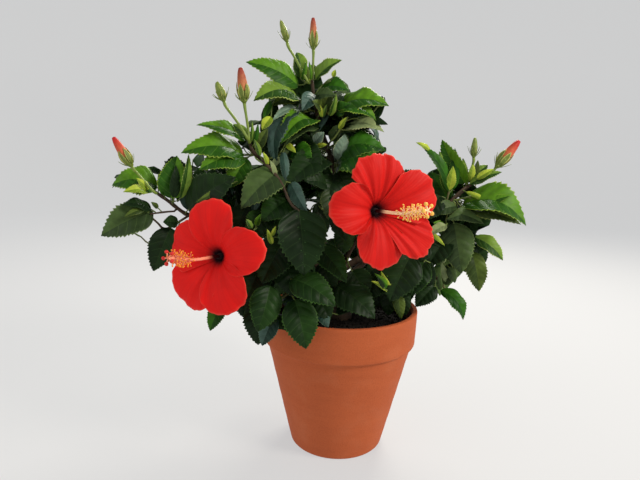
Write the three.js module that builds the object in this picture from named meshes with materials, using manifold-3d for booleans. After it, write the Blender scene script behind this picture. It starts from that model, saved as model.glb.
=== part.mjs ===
// A potted hibiscus shrub, about 54 cm tall with its terracotta pot.
// Units are millimetres, +Z is up, and the side that shows two open blooms faces -Y.
// The origin is the centre of the pot's flat underside.
//
// The pot, the potting soil, the trunk, every bough and every mass of foliage is one closed
// solid of its own. A mass of foliage is an uneven lump with a spindle out to each far leaf
// tip or bud tip, so together the masses have the crown's outline, its top and its gaps.

import * as THREE from 'three';
import { mergeVertices } from 'three/addons/utils/BufferGeometryUtils.js';
import Module from 'manifold-3d';

const wasm = await Module();
wasm.setup();

// Driving dimensions of the pot
const POT_HEIGHT = 183.5;
const RIM_RADIUS = 100;
const COLLAR_FOOT_RADIUS = 98;
const COLLAR_HEIGHT = 44;
const SHOULDER_RADIUS = 94;
const FOOT_RADIUS = 60.4;
const LIP_WIDTH = 7;
const LIP_DRAFT = 1;
const WALL = 8;
const FLOOR = 10;
const POT_ROUNDING = 3;
const POT_FACETS = 36;

// Driving dimensions of the soil and of the trunk that stands on it
const SOIL_TOP = 165;
const TRUNK_TOP = 250;
const TRUNK_RADIUS = 10;
const TRUNK_TIP_RADIUS = 6;
const ROOT_FLARE = 6;
const FLARE_HEIGHT = 16;
const FLARE_SHARPNESS = 1.6;
const TRUNK_LEAN = [-5, 5];

// Clear space between two pieces: GAP where they are built apart, CUT where one is cut back
const GAP = 0.3;
const CUT = 0.4;

// A length too short to matter
const NOTHING = 1e-6;

// How finely the pieces are faceted
const LIMB_SIDES = 6;
const LIMB_STEPS = 6;
const SMALL_LUMP = 42;
const SMALL_LUMP_DETAIL = 1;
const LUMP_DETAIL = 2;
const SPINDLE_SIDES = 5;
const SPINDLE_STEPS = 4;

// How uneven a lump of foliage is: the height of its waves against its size, how many waves
// run along each axis, and the share of the waves that run sideways
const UNEVENNESS = 0.13;
const RIPPLES = new THREE.Vector3(3.3, 2.9, 4.3);
const SIDEWAYS_SHARE = 0.6;

// How flat a spindle is across its height, and how fast it narrows to its ends
const SPINDLE_FLATNESS = 0.62;
const SPINDLE_POINT = 1.25;

// Colours, as seen in daylight
const TERRACOTTA = new THREE.Color(0.72, 0.36, 0.22);
const SOIL = new THREE.Color(0.09, 0.07, 0.055);
const BARK = new THREE.Color(0.25, 0.17, 0.11);
const LEAF = new THREE.Color(0.13, 0.27, 0.09);

// The masses of foliage. at is the middle of the lump, half its half width, half depth and
// half height, and tips holds the far leaf tips and bud tips that it reaches, each with the
// half width of the spindle there. The first ones keep their whole shape, and each later one
// is cut back to leave a gap round those before it.
const MASSES = {
  foliage_top: {
    at: [-45, 4, 454],
    half: [31, 31, 38],
    tips: [
      [-45, 0, 537, 10],
      [-84, -10, 529, 8],
      [-122, -10, 484, 14],
      [-6, 10, 492, 15],
      [-114, -25, 438, 15],
      [-62, 66, 470, 16],
    ],
  },
  foliage_upper_right: {
    at: [6, 2, 422],
    half: [34, 34, 27],
    tips: [[50, 0, 440, 17], [40, -22, 412, 12], [30, 52, 410, 16]],
  },
  foliage_upper_left: {
    at: [-106, -32, 396],
    half: [42, 36, 32],
    tips: [
      [-123, -50, 469, 10],
      [-148, -60, 450, 8],
      [-174, -50, 407, 14],
      [-191, -60, 372, 22],
      [-134, 30, 404, 18],
    ],
  },
  foliage_left: {
    at: [-214, -42, 324],
    half: [37, 36, 27],
    tips: [
      [-266, -60, 389, 10],
      [-274, -50, 331, 18],
      [-289, -50, 275, 19],
      [-198, -40, 374, 18],
      [-248, 22, 330, 18],
    ],
  },
  foliage_left_low: {
    at: [-208, -24, 262],
    half: [28, 28, 28],
    tips: [[-238, -40, 226, 18], [-232, 22, 246, 15]],
  },
  foliage_front_left: {
    at: [-140, -88, 264],
    half: [46, 34, 50],
    tips: [
      [-137, -124, 331, 36],
      [-126, -124, 202, 38],
      [-190, -124, 238, 36],
      [-82, -122, 278, 36],
      [-178, -168, 274, 12],
    ],
  },
  foliage_front_right: {
    at: [40, -84, 306],
    half: [46, 32, 46],
    tips: [
      [16, -124, 380, 36],
      [38, -124, 256, 36],
      [-22, -132, 322, 36],
      [96, -112, 316, 36],
      [78, -168, 328, 12],
    ],
  },
  foliage_low_front: {
    at: [-74, -92, 226],
    half: [42, 28, 30],
    tips: [[-42, -124, 167, 24], [-96, -116, 176, 21], [-152, -92, 174, 13], [-8, -112, 212, 20]],
  },
  foliage_right: {
    at: [158, 0, 334],
    half: [42, 38, 34],
    tips: [
      [84, 0, 396, 13],
      [117, 0, 402, 15],
      [156, -10, 404, 9],
      [216, 0, 402, 10],
      [234, 0, 298, 21],
      [172, 62, 340, 20],
    ],
  },
  foliage_right_low: {
    at: [160, -10, 262],
    half: [28, 30, 36],
    tips: [[206, 0, 247, 15], [180, -10, 205, 17], [168, 44, 250, 16]],
  },
  foliage_right_tip: {
    at: [138, -18, 204],
    half: [22, 22, 22],
    tips: [[157, -22, 171, 14]],
  },
  foliage_centre: {
    at: [-62, -56, 330],
    half: [56, 38, 48],
    tips: [[-38, -104, 244, 32], [-122, -74, 310, 26]],
  },
  foliage_upper_middle: {
    at: [-52, -10, 392],
    half: [40, 30, 30],
    tips: [[-20, -44, 386, 16]],
  },
  foliage_left_inner: {
    at: [-152, -10, 322],
    half: [42, 40, 40],
    tips: [[-160, 38, 350, 16], [-176, 44, 300, 16]],
  },
  foliage_middle: {
    at: [14, 2, 360],
    half: [38, 34, 36],
    tips: [[54, 4, 386, 17]],
  },
  foliage_right_inner: {
    at: [96, 10, 296],
    half: [34, 36, 42],
    tips: [[84, -20, 346, 14]],
  },
  foliage_centre_low: {
    at: [16, -62, 222],
    half: [46, 34, 28],
    tips: [[44, -62, 185, 18]],
  },
  foliage_front_low_right: {
    at: [88, -40, 236],
    half: [38, 34, 36],
    tips: [[94, -52, 202, 18], [118, -32, 192, 14]],
  },
  foliage_back_top: {
    at: [-30, 66, 408],
    half: [44, 34, 36],
    tips: [[-84, 92, 424, 18], [18, 96, 420, 18]],
  },
  foliage_back: {
    at: [-4, 110, 340],
    half: [76, 56, 58],
    tips: [[-60, 160, 384, 26], [50, 166, 370, 26], [0, 186, 322, 28]],
  },
  foliage_back_left: {
    at: [-116, 94, 292],
    half: [70, 56, 56],
    tips: [[-208, 116, 312, 26], [-150, 164, 276, 26], [-150, 104, 362, 24]],
  },
  foliage_back_right: {
    at: [110, 90, 286],
    half: [64, 54, 54],
    tips: [[196, 100, 300, 26], [134, 156, 270, 26], [146, 92, 350, 24]],
  },
  foliage_back_low: {
    at: [-6, 102, 224],
    half: [74, 46, 36],
    tips: [[-64, 150, 190, 24], [50, 148, 184, 24]],
  },
};

// The boughs. leaves is the height at which each leaves the trunk, or from the place where it
// leaves a bough listed before it. via holds the places that its middle line runs through,
// radii its radius at both ends, and into the mass that it enters.
const BOUGHS = {
  bough_top: {
    leaves: 246,
    via: [[-2, 6, 285], [-4, 18, 330], [-18, 22, 372], [-34, 16, 412], [-44, 4, 450]],
    radii: [5.6, 3.2],
    into: 'foliage_top',
  },
  bough_upper_left: {
    leaves: 236,
    via: [[-34, 4, 280], [-72, 0, 338], [-98, -16, 368], [-106, -32, 396]],
    radii: [5.2, 3],
    into: 'foliage_upper_left',
  },
  bough_left: {
    leaves: 222,
    via: [[-56, -8, 246], [-120, -18, 272], [-170, -34, 296], [-214, -42, 324]],
    radii: [5, 2.8],
    into: 'foliage_left',
  },
  bough_right: {
    leaves: 228,
    via: [[38, 2, 254], [82, 8, 286], [118, 4, 310], [158, 0, 334]],
    radii: [5, 2.8],
    into: 'foliage_right',
  },
  bough_front_left: {
    leaves: 206,
    via: [[-40, -28, 236], [-92, -56, 258], [-140, -88, 264]],
    radii: [4.2, 2.6],
    into: 'foliage_front_left',
  },
  bough_front_right: {
    leaves: 214,
    via: [[8, -28, 262], [24, -56, 290], [40, -84, 306]],
    radii: [4.2, 2.6],
    into: 'foliage_front_right',
  },
  bough_low_right: {
    leaves: 200,
    via: [[44, -8, 226], [100, -2, 246], [160, -10, 262]],
    radii: [4.2, 2.6],
    into: 'foliage_right_low',
  },
  bough_low_front: {
    leaves: 192,
    via: [[-22, -40, 214], [-74, -92, 226]],
    radii: [3.8, 2.4],
    into: 'foliage_low_front',
  },
  bough_back_left: {
    leaves: 216,
    via: [[-40, 40, 250], [-116, 94, 292]],
    radii: [5, 3],
    into: 'foliage_back_left',
  },
  bough_back: {
    leaves: 232,
    via: [[-4, 48, 282], [-4, 110, 340]],
    radii: [4.8, 3],
    into: 'foliage_back',
  },
  bough_back_right: {
    leaves: 210,
    via: [[44, 38, 244], [110, 90, 286]],
    radii: [5, 3],
    into: 'foliage_back_right',
  },
  bough_back_low: {
    leaves: 196,
    via: [[-4, 44, 208], [-6, 102, 224]],
    radii: [4, 2.6],
    into: 'foliage_back_low',
  },
  bough_left_low: {
    from: [-120, -18, 272],
    via: [[-160, -18, 270], [-208, -24, 262]],
    radii: [3, 2.2],
    into: 'foliage_left_low',
  },
  bough_right_tip: {
    from: [100, -2, 246],
    via: [[122, -10, 224], [138, -18, 204]],
    radii: [2.8, 2],
    into: 'foliage_right_tip',
  },
};

// The solid of a closed geometry, and the geometry of a solid
function solidOf(geometry) {
  const bare = geometry.clone();
  bare.deleteAttribute('normal');
  bare.deleteAttribute('uv');
  const merged = mergeVertices(bare, 1e-4);
  return new wasm.Manifold(
    new wasm.Mesh({
      numProp: 3,
      vertProperties: Float32Array.from(merged.attributes.position.array),
      triVerts: Uint32Array.from(merged.index.array),
    })
  );
}

function geometryOf(solid) {
  const mesh = solid.getMesh();
  const geometry = new THREE.BufferGeometry();
  geometry.setAttribute('position', new THREE.BufferAttribute(mesh.vertProperties, 3));
  geometry.setIndex(new THREE.BufferAttribute(mesh.triVerts, 1));
  geometry.computeVertexNormals();
  return geometry;
}

// The largest piece of a solid, without the slivers that a cut may leave beside it
function largestPiece(solid) {
  const pieces = solid.decompose();
  pieces.sort((a, b) => b.volume() - a.volume());
  return pieces[0];
}

// Moves every point of a geometry by a function of its place
function moved(geometry, place) {
  const points = geometry.attributes.position;
  const point = new THREE.Vector3();
  for (let i = 0; i < points.count; i += 1) {
    point.fromBufferAttribute(points, i);
    const target = place(point);
    points.setXYZ(i, target.x, target.y, target.z);
  }
  return geometry;
}

// A smooth in-and-out wave over the directions round a lump, its own for each lump
function wave({ x, y, z }, own) {
  const sideways = Math.sin(RIPPLES.x * x + 2 * own) * Math.cos(RIPPLES.y * y - own);
  const upward = Math.sin(RIPPLES.z * z + 2 * x + 2.3 * own);
  return UNEVENNESS * (SIDEWAYS_SHARE * sideways + (1 - SIDEWAYS_SHARE) * upward);
}

// An uneven lump; grow adds a skin all round, for cutting a neighbour back
function lump({ at, half }, own, grow) {
  const centre = new THREE.Vector3(...at);
  const size = new THREE.Vector3(...half);
  const detail = Math.max(...half) <= SMALL_LUMP ? SMALL_LUMP_DETAIL : LUMP_DETAIL;
  const ball = new THREE.IcosahedronGeometry(1, detail);
  return solidOf(
    moved(ball, (direction) => {
      const skin = direction.clone().divide(size).normalize().multiplyScalar(grow);
      const scale = 1 + wave(direction, own);
      return direction.clone().multiply(size).multiplyScalar(scale).add(centre).add(skin);
    })
  );
}

// A spindle from the middle of a lump to a tip, widest halfway and flattened across its height
function spindle(at, [x, y, z, halfWidth], grow) {
  const foot = new THREE.Vector3(...at);
  const tip = new THREE.Vector3(x, y, z);
  const along = tip.clone().sub(foot);
  const halfLength = along.length() / 2;
  const middle = foot.clone().add(tip).multiplyScalar(0.5);
  along.normalize();
  const side = new THREE.Vector3(0, -1, 0).cross(along).normalize();
  const over = side.clone().cross(along);
  const ball = new THREE.SphereGeometry(1, SPINDLE_SIDES, SPINDLE_STEPS);
  return solidOf(
    moved(ball, (point) => {
      const round = Math.max(Math.hypot(point.x, point.z), NOTHING);
      const width = (halfWidth * round ** SPINDLE_POINT + grow) / round;
      const height = (halfWidth * SPINDLE_FLATNESS * round ** SPINDLE_POINT + grow) / round;
      return middle
        .clone()
        .addScaledVector(along, point.y * (halfLength + grow))
        .addScaledVector(side, point.x * width)
        .addScaledVector(over, point.z * height);
    })
  );
}

function massSolid(mass, own, grow) {
  return mass.tips.reduce(
    (solid, tip) => solid.add(spindle(mass.at, tip, grow)),
    lump(mass, own, grow)
  );
}

// A tapering limb along a smooth curve through points; radiusAt gives its radius from foot to tip
function limb(points, radiusAt, grow) {
  const curve = new THREE.CatmullRomCurve3(points, false, 'centripetal');
  const frames = curve.computeFrenetFrames(LIMB_STEPS, false);
  const rod = new THREE.CylinderGeometry(1, 1, 1, LIMB_SIDES, LIMB_STEPS);
  return solidOf(
    moved(rod, (point) => {
      const t = point.y + 0.5;
      const step = Math.round(t * LIMB_STEPS);
      const radius = radiusAt(t) + grow;
      const end = (t > 1 - NOTHING ? grow : 0) - (t < NOTHING ? grow : 0);
      return curve
        .getPointAt(t)
        .addScaledVector(frames.tangents[step], end)
        .addScaledVector(frames.normals[step], point.x * radius)
        .addScaledVector(frames.binormals[step], -point.z * radius);
    })
  );
}

function trunkMiddle(height) {
  const t = (height - SOIL_TOP) / (TRUNK_TOP - SOIL_TOP);
  return new THREE.Vector3(TRUNK_LEAN[0] * t * t, TRUNK_LEAN[1] * t * t, height);
}

// The trunk spreads into its root flare just above the soil, where it is cut flat
function trunkSolid(grow) {
  const foot = SOIL_TOP + GAP;
  const heights = [foot, foot + FLARE_HEIGHT, (foot + TRUNK_TOP) / 2, TRUNK_TOP];
  const points = heights.map((height) => trunkMiddle(height));
  points[0].set(0, 0, foot);
  points[1].set(0, 0, foot + FLARE_HEIGHT);
  const flareLength = FLARE_HEIGHT / (TRUNK_TOP - foot);
  const radiusAt = (t) => {
    const taper = TRUNK_RADIUS + (TRUNK_TIP_RADIUS - TRUNK_RADIUS) * t;
    return taper + ROOT_FLARE * Math.exp((-FLARE_SHARPNESS * t) / flareLength);
  };
  return limb(points, radiusAt, grow);
}

function boughSolid(bough, grow) {
  const points = [bough.from ? new THREE.Vector3(...bough.from) : trunkMiddle(bough.leaves)];
  bough.via.forEach((place) => points.push(new THREE.Vector3(...place)));
  const [thick, thin] = bough.radii;
  return limb(points, (t) => thick + (thin - thick) * t, grow);
}

// The pot's inner wall, as a radius and a height at its top, its shoulder and its floor
const collarFoot = POT_HEIGHT - COLLAR_HEIGHT;
const bodySlope = (SHOULDER_RADIUS - FOOT_RADIUS) / collarFoot;
const innerWall = {
  top: [RIM_RADIUS - LIP_WIDTH - LIP_DRAFT, POT_HEIGHT - 2 * POT_ROUNDING],
  shoulder: [SHOULDER_RADIUS - WALL, collarFoot],
  floor: [FOOT_RADIUS - WALL + FLOOR * bodySlope, FLOOR],
};

// The pot: a tapering body, a collar that overhangs it, a rounded lip and the hollow inside
function potProfile() {
  const r = POT_ROUNDING;
  return [
    [0, 0],
    [FOOT_RADIUS - r, 0],
    [FOOT_RADIUS, r],
    [SHOULDER_RADIUS, collarFoot],
    [COLLAR_FOOT_RADIUS - r / 2, collarFoot + r / 3],
    [COLLAR_FOOT_RADIUS, collarFoot + r],
    [RIM_RADIUS, POT_HEIGHT - r],
    [RIM_RADIUS - r / 2, POT_HEIGHT - r / 5],
    [RIM_RADIUS - LIP_WIDTH / 2, POT_HEIGHT],
    [RIM_RADIUS - LIP_WIDTH, POT_HEIGHT - r / 2],
    innerWall.top,
    innerWall.shoulder,
    innerWall.floor,
    [0, FLOOR],
  ];
}

// The soil fills the pot to a little under its rim, and clears the wall all round
function soilProfile() {
  const [topRadius, topHeight] = innerWall.top;
  const [shoulderRadius, shoulderHeight] = innerWall.shoulder;
  const share = (SOIL_TOP - shoulderHeight) / (topHeight - shoulderHeight);
  return [
    [0, FLOOR + GAP],
    [innerWall.floor[0] - CUT, FLOOR + GAP],
    [shoulderRadius - CUT, shoulderHeight],
    [shoulderRadius + (topRadius - shoulderRadius) * share - CUT, SOIL_TOP],
    [0, SOIL_TOP],
  ];
}

// A turned body stands on its Y axis, and here is set upright on Z
function turned(profile) {
  const points = profile.map(([radius, height]) => new THREE.Vector2(radius, height));
  const geometry = new THREE.LatheGeometry(points, POT_FACETS);
  geometry.rotateX(Math.PI / 2);
  return solidOf(geometry);
}

function piece(name, solid, color, roughness) {
  const material = new THREE.MeshStandardMaterial({ color, roughness, metalness: 0 });
  const mesh = new THREE.Mesh(geometryOf(solid), material);
  mesh.name = name;
  return mesh;
}

// Every mass clears the trunk and the masses before it
const massNames = Object.keys(MASSES);
const masses = {};
let inTheWay = trunkSolid(CUT);
massNames.forEach((name, own) => {
  masses[name] = largestPiece(massSolid(MASSES[name], own + 1, 0).subtract(inTheWay));
  inTheWay = inTheWay.add(massSolid(MASSES[name], own + 1, CUT));
});

// Every bough ends where it enters its mass and clears the trunk and the boughs before it,
// and the other masses are cut back round it
const boughs = {};
let limbsInTheWay = trunkSolid(CUT);
Object.entries(BOUGHS).forEach(([name, bough]) => {
  const own = massNames.indexOf(bough.into) + 1;
  const entered = massSolid(MASSES[bough.into], own, CUT);
  boughs[name] = largestPiece(boughSolid(bough, 0).subtract(limbsInTheWay).subtract(entered));
  const grown = boughSolid(bough, CUT);
  limbsInTheWay = limbsInTheWay.add(grown);
  massNames
    .filter((other) => other !== bough.into)
    .forEach((other) => {
      masses[other] = largestPiece(masses[other].subtract(grown));
    });
});

const shrub = new THREE.Group();
shrub.add(piece('pot', turned(potProfile()), TERRACOTTA, 0.8));
shrub.add(piece('potting_soil', turned(soilProfile()), SOIL, 0.95));
shrub.add(piece('trunk', trunkSolid(0), BARK, 0.8));
Object.entries(boughs).forEach(([name, solid]) => shrub.add(piece(name, solid, BARK, 0.8)));
Object.entries(masses).forEach(([name, solid]) => shrub.add(piece(name, solid, LEAF, 0.6)));

export default shrub;
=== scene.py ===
# %% [markdown]
# # A potted hibiscus shrub
#
# The plant is made in the order in which it grows: a clay pot and its soil, a woody trunk with its
# boughs, green twigs that branch on from them, leaves on their stalks, and last the open blooms and
# the buds at the ends of the shoots. Every length below is in millimetres, and becomes metres only
# when a mesh is handed to Blender.

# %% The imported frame
import math

import bpy
import numpy as np
from mathutils import Euler, Matrix, Vector


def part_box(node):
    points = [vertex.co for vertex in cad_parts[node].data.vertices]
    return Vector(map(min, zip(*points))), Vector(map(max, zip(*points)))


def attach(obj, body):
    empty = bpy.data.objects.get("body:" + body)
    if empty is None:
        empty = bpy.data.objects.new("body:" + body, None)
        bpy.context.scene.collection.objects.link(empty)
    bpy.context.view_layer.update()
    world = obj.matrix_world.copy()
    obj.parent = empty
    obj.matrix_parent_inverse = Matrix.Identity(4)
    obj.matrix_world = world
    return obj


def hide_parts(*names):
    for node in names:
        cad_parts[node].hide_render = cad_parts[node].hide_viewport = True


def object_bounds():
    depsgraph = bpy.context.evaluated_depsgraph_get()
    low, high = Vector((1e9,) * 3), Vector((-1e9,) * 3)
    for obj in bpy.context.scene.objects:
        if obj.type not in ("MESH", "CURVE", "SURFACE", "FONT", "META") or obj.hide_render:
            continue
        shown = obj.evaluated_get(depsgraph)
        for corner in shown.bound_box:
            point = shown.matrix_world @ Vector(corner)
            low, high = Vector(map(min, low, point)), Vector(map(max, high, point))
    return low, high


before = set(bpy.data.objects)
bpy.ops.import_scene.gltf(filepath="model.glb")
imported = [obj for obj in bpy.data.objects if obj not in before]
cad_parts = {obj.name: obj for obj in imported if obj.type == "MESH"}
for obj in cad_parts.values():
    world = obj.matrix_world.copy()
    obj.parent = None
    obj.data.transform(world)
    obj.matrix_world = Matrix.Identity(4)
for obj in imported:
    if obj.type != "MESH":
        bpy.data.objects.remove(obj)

CAD_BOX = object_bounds()
MM = 0.001
SEED = 7
rng = np.random.default_rng(SEED)
scene = bpy.context.scene
print("the frame's box, in mm:", [[round(c / MM) for c in corner] for corner in CAD_BOX])

# %% [markdown]
# ## The camera
#
# The camera stands where the photographer stood. Its place was worked out from the pot: the widths
# of its rim, collar and foot and the roundness of its rim fix the distance, the height and the tilt.
# `seen` turns that round: it follows the sight line through a pixel to a chosen depth, so a leaf can
# be put where the photograph shows it and still be at a real place in the crown.

# %% Camera
PHOTO_WIDTH, PHOTO_HEIGHT = 640, 480
FOCAL_PIXELS = 500
EYE = np.array([-29.0, -633.0, 372.6])
LOOKS_DOWN = 9.38
TURNED = 1.65
SENSOR = 36

sight = Euler((math.radians(90 - LOOKS_DOWN), 0, 0)).to_matrix()
sight = sight @ Matrix.Rotation(math.radians(TURNED), 3, "Z")
camera = bpy.data.objects.new("camera", bpy.data.cameras.new("camera"))
camera.data.sensor_width = SENSOR
camera.data.lens = SENSOR * FOCAL_PIXELS / PHOTO_WIDTH
camera.matrix_world = Matrix.Translation(Vector(EYE * MM)) @ sight.to_4x4()
scene.collection.objects.link(camera)
scene.camera = camera
SIGHT = np.array(sight)


def seen(pixel, depth):
    """The place where the sight line through a pixel crosses the upright plane y = depth."""
    across = (pixel[0] - PHOTO_WIDTH / 2) / FOCAL_PIXELS
    down = (pixel[1] - PHOTO_HEIGHT / 2) / FOCAL_PIXELS
    line = SIGHT @ np.array([across, -down, -1.0])
    return EYE + line * (depth - EYE[1]) / line[1]


print("lens", round(camera.data.lens, 2), "mm; a pixel at the trunk is", end=" ")
print(round(float(seen((321, 240), 0)[0] - seen((320, 240), 0)[0]), 2), "mm wide")

# %% [markdown]
# ## Writing finishes as sums
#
# A material is a tree of nodes, and most of it is arithmetic. `Value` wraps one output socket and
# lends it Python's own operators, so a formula reads as a formula while each operator adds its Math
# node. `Finish` is one material: its `node` method makes any other node from its type, its settings
# and what goes into its sockets.

# %% Finishes as expressions
def paint(*screen):
    """The linear colour of a paint given by its screen values for red, green and blue, 0 to 255."""
    shares = [c / 255 for c in screen]
    return tuple(s / 12.92 if s <= 0.04045 else ((s + 0.055) / 1.055) ** 2.4 for s in shares)


class Value:
    """A number that changes over a surface, with Python's operators."""

    def __init__(self, finish, socket):
        self.finish = finish
        self.socket = socket

    def math(self, operation, first, second):
        return self.finish.node("ShaderNodeMath", {"operation": operation}, [first, second])

    def __add__(self, other):
        return self.math("ADD", self, other)

    def __mul__(self, other):
        return self.math("MULTIPLY", self, other)

    def __sub__(self, other):
        return self.math("SUBTRACT", self, other)

    def __rsub__(self, other):
        return self.math("SUBTRACT", other, self)

    __radd__ = __add__
    __rmul__ = __mul__

    def held(self):
        """The same value, kept between 0 and 1."""
        return self.finish.node("ShaderNodeClamp", {}, [self, 0.0, 1.0])


class Finish:
    """A material under its nodes. plain holds the sockets that are the same all over."""

    def __init__(self, name, roughness, **plain):
        self.material = bpy.data.materials.new(name)
        self.material.use_nodes = True
        self.tree = self.material.node_tree
        self.shader = self.tree.nodes["Principled BSDF"]
        self.shader.inputs["Roughness"].default_value = roughness
        for socket, value in plain.items():
            self.shader.inputs[socket.replace("_", " ")].default_value = value

    def node(self, kind, settings, inputs, output=0):
        """Adds a node of a kind, sets it up, then fills its sockets by name or by number."""
        made = self.tree.nodes.new(kind)
        for name, setting in settings.items():
            setattr(made, name, setting)
        for socket, value in inputs.items() if isinstance(inputs, dict) else enumerate(inputs):
            self.feed(made.inputs[socket], value)
        return Value(self, made.outputs[output])

    def feed(self, socket, value):
        if isinstance(value, Value):
            self.tree.links.new(value.socket, socket)
        else:
            socket.default_value = (*value, 1) if socket.type == "RGBA" else value

    def mix(self, share, first, second):
        """A colour between two colours."""
        return self.node("ShaderNodeMix", {"data_type": "RGBA"}, {0: share, 6: first, 7: second}, 2)

    def noise(self, grain, detail=2.0, stretch=(1, 1, 1)):
        """Cloudy patches; grain is their size in millimetres."""
        here = self.node("ShaderNodeTexCoord", {}, [], "Object")
        place = self.node("ShaderNodeMapping", {}, {"Vector": here, "Scale": stretch})
        inputs = {"Vector": place, "Scale": 1 / (grain * MM), "Detail": detail}
        return self.node("ShaderNodeTexNoise", {}, inputs)

    def mark(self, name):
        """A number that the mesh carries at each of its points."""
        return self.node("ShaderNodeAttribute", {"attribute_name": name}, [], "Fac")

    def done(self, colour, relief=None, depth=0.0):
        """Gives the material its colour and, if any, relief finer than the mesh, depth mm deep."""
        self.feed(self.shader.inputs["Base Color"], colour)
        if relief is not None:
            inputs = {"Height": relief, "Distance": depth * MM, "Strength": 1.0}
            self.feed(self.shader.inputs["Normal"], self.node("ShaderNodeBump", {}, inputs))
        return self.material


# %% [markdown]
# ## Heaps and tubes
#
# A crown has hundreds of thousands of faces. Adding them one at a time would take minutes, so each
# shape here works its points out as arrays and drops them on a `Heap`, and the whole heap becomes
# one mesh at the end. `curve` rounds a line through a few places, and `tube` sweeps a ring along it:
# with them come limbs, twigs, leaf stalks and stamens.

# %% Heap
class Heap:
    """Shapes gathered in millimetres, which become one joined mesh. Its marks are the names of the
    numbers that each point carries for the paint."""

    def __init__(self, *marks):
        self.mark_names = marks
        self.count = 0
        self.points, self.marks = [], []
        self.corners, self.sizes, self.finishes, self.smooth = [], [], [], []

    def add(self, points, faces, finish=0, marks=None):
        """Adds points and their faces, and returns the number of the first point."""
        start = self.count
        self.points.append(np.asarray(points, float))
        self.marks.append(np.zeros((len(points), len(self.mark_names))) if marks is None else marks)
        self.count += len(points)
        self.faces(start, faces, finish)
        return start

    def faces(self, start, faces, finish=0, smooth=True):
        """faces holds rows of corner numbers, counted from start; finish is one number, or one for
        each face."""
        faces = np.asarray(faces)
        self.corners.append((faces + start).ravel())
        self.sizes.append(np.full(len(faces), faces.shape[1]))
        self.finishes.append(np.broadcast_to(finish, len(faces)))
        self.smooth.append(np.full(len(faces), smooth))

    def thing(self, name, finishes):
        """Makes the joined mesh, with those finishes that its faces use, and an object for it."""
        sizes, corners, numbers = map(np.concatenate, (self.sizes, self.corners, self.finishes))
        used = np.unique(numbers)
        mesh = bpy.data.meshes.new(name)
        mesh.vertices.add(self.count)
        mesh.vertices.foreach_set("co", (np.concatenate(self.points) * MM).ravel())
        mesh.loops.add(len(corners))
        mesh.loops.foreach_set("vertex_index", corners.astype(np.int32))
        mesh.polygons.add(len(sizes))
        mesh.polygons.foreach_set("loop_start", (np.cumsum(sizes) - sizes).astype(np.int32))
        mesh.update(calc_edges=True)
        for number in used:
            mesh.materials.append(finishes[number])
        mesh.polygons.foreach_set("material_index", np.searchsorted(used, numbers).astype(np.int32))
        mesh.polygons.foreach_set("use_smooth", np.concatenate(self.smooth))
        marks = np.concatenate(self.marks).astype(np.float32)
        for column, mark in enumerate(self.mark_names):
            mesh.attributes.new(mark, "FLOAT", "POINT").data.foreach_set("value", marks[:, column].copy())
        mesh.validate()
        made = bpy.data.objects.new(name, mesh)
        scene.collection.objects.link(made)
        print(f"{name}: {int((sizes - 2).sum())} triangles")
        return made

    def piece(self, name, finishes, slot, *nodes):
        """The same, riding on the one body, with the nodes of the frame that it replaces hidden; slot is
        not used.
        """
        made = self.thing(name, finishes)
        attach(made, "root")
        if nodes:
            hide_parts(*nodes)


# %% Directions, curves and rings
def unit(v):
    return v / max(np.linalg.norm(v), 1e-9)


def lengths(vectors):
    return np.linalg.norm(vectors, axis=1)


def round_angles(count):
    return np.linspace(0, 2 * math.pi, count, endpoint=False)


def spoke(side, over, angle):
    """The direction at an angle from side towards over."""
    return side * math.cos(angle) + over * math.sin(angle)


def curve(places, count):
    """Evenly spaced points on a smooth line through some places."""
    places = np.asarray(places, float)
    padded = np.vstack([2 * places[0] - places[1], places, 2 * places[-1] - places[-2]])
    t = np.linspace(0, 1, 12, endpoint=False)[:, None]
    fine = []
    for a, b, c, d in zip(padded, padded[1:], padded[2:], padded[3:]):
        bend = (2 * a - 5 * b + 4 * c - d) * t**2 + (3 * b - a - 3 * c + d) * t**3
        fine.append(0.5 * (2 * b + (c - a) * t + bend))
    fine = np.vstack([*fine, places[-1:]])
    along = np.concatenate([[0], np.cumsum(lengths(np.diff(fine, axis=0)))])
    wanted = np.linspace(0, along[-1], count)
    return np.stack([np.interp(wanted, along, fine[:, k]) for k in range(3)], axis=1)


def frames_along(path):
    """Two sideways directions at each point of a path, turned as little as the path allows."""
    tangents = np.gradient(path, axis=0)
    tangents /= lengths(tangents)[:, None]
    side = unit(np.cross(tangents[0], [0.31, 0.17, 0.93]))
    sides = []
    for tangent in tangents:
        side = unit(side - tangent * np.dot(side, tangent))
        sides.append(side)
    sides = np.array(sides)
    return sides, np.cross(tangents, sides), tangents


def grid_faces(rows, columns, closed):
    """Four-cornered faces between the rows of a grid of points; closed joins its last column on."""
    i = np.arange(rows - 1)[:, None]
    j = np.arange(columns if closed else columns - 1)[None, :]
    k = (j + 1) % columns
    corners = [i * columns + j, i * columns + k, (i + 1) * columns + k, (i + 1) * columns + j]
    return np.stack([c.ravel() for c in np.broadcast_arrays(*corners)], axis=1)


def sheet_edges(rows, columns):
    """Faces from the edge of a grid of points to the same edge of a second grid after it."""
    count = rows * columns
    edge = np.concatenate([
        np.arange(columns - 1), np.arange(rows - 1) * columns + columns - 1,
        np.arange(count - 1, count - columns, -1), np.arange(rows - 1, 0, -1) * columns,
    ])
    after = np.roll(edge, -1)
    return np.stack([after, edge, edge + count, after + count], axis=1)


def ring_points(radii, heights, sides):
    """Points of rings round the upright axis; radii and heights are columns, or grids."""
    angles = round_angles(sides)
    grids = np.broadcast_arrays(radii * np.cos(angles), radii * np.sin(angles), heights)
    return np.stack(grids, axis=2).reshape(-1, 3)


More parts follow.
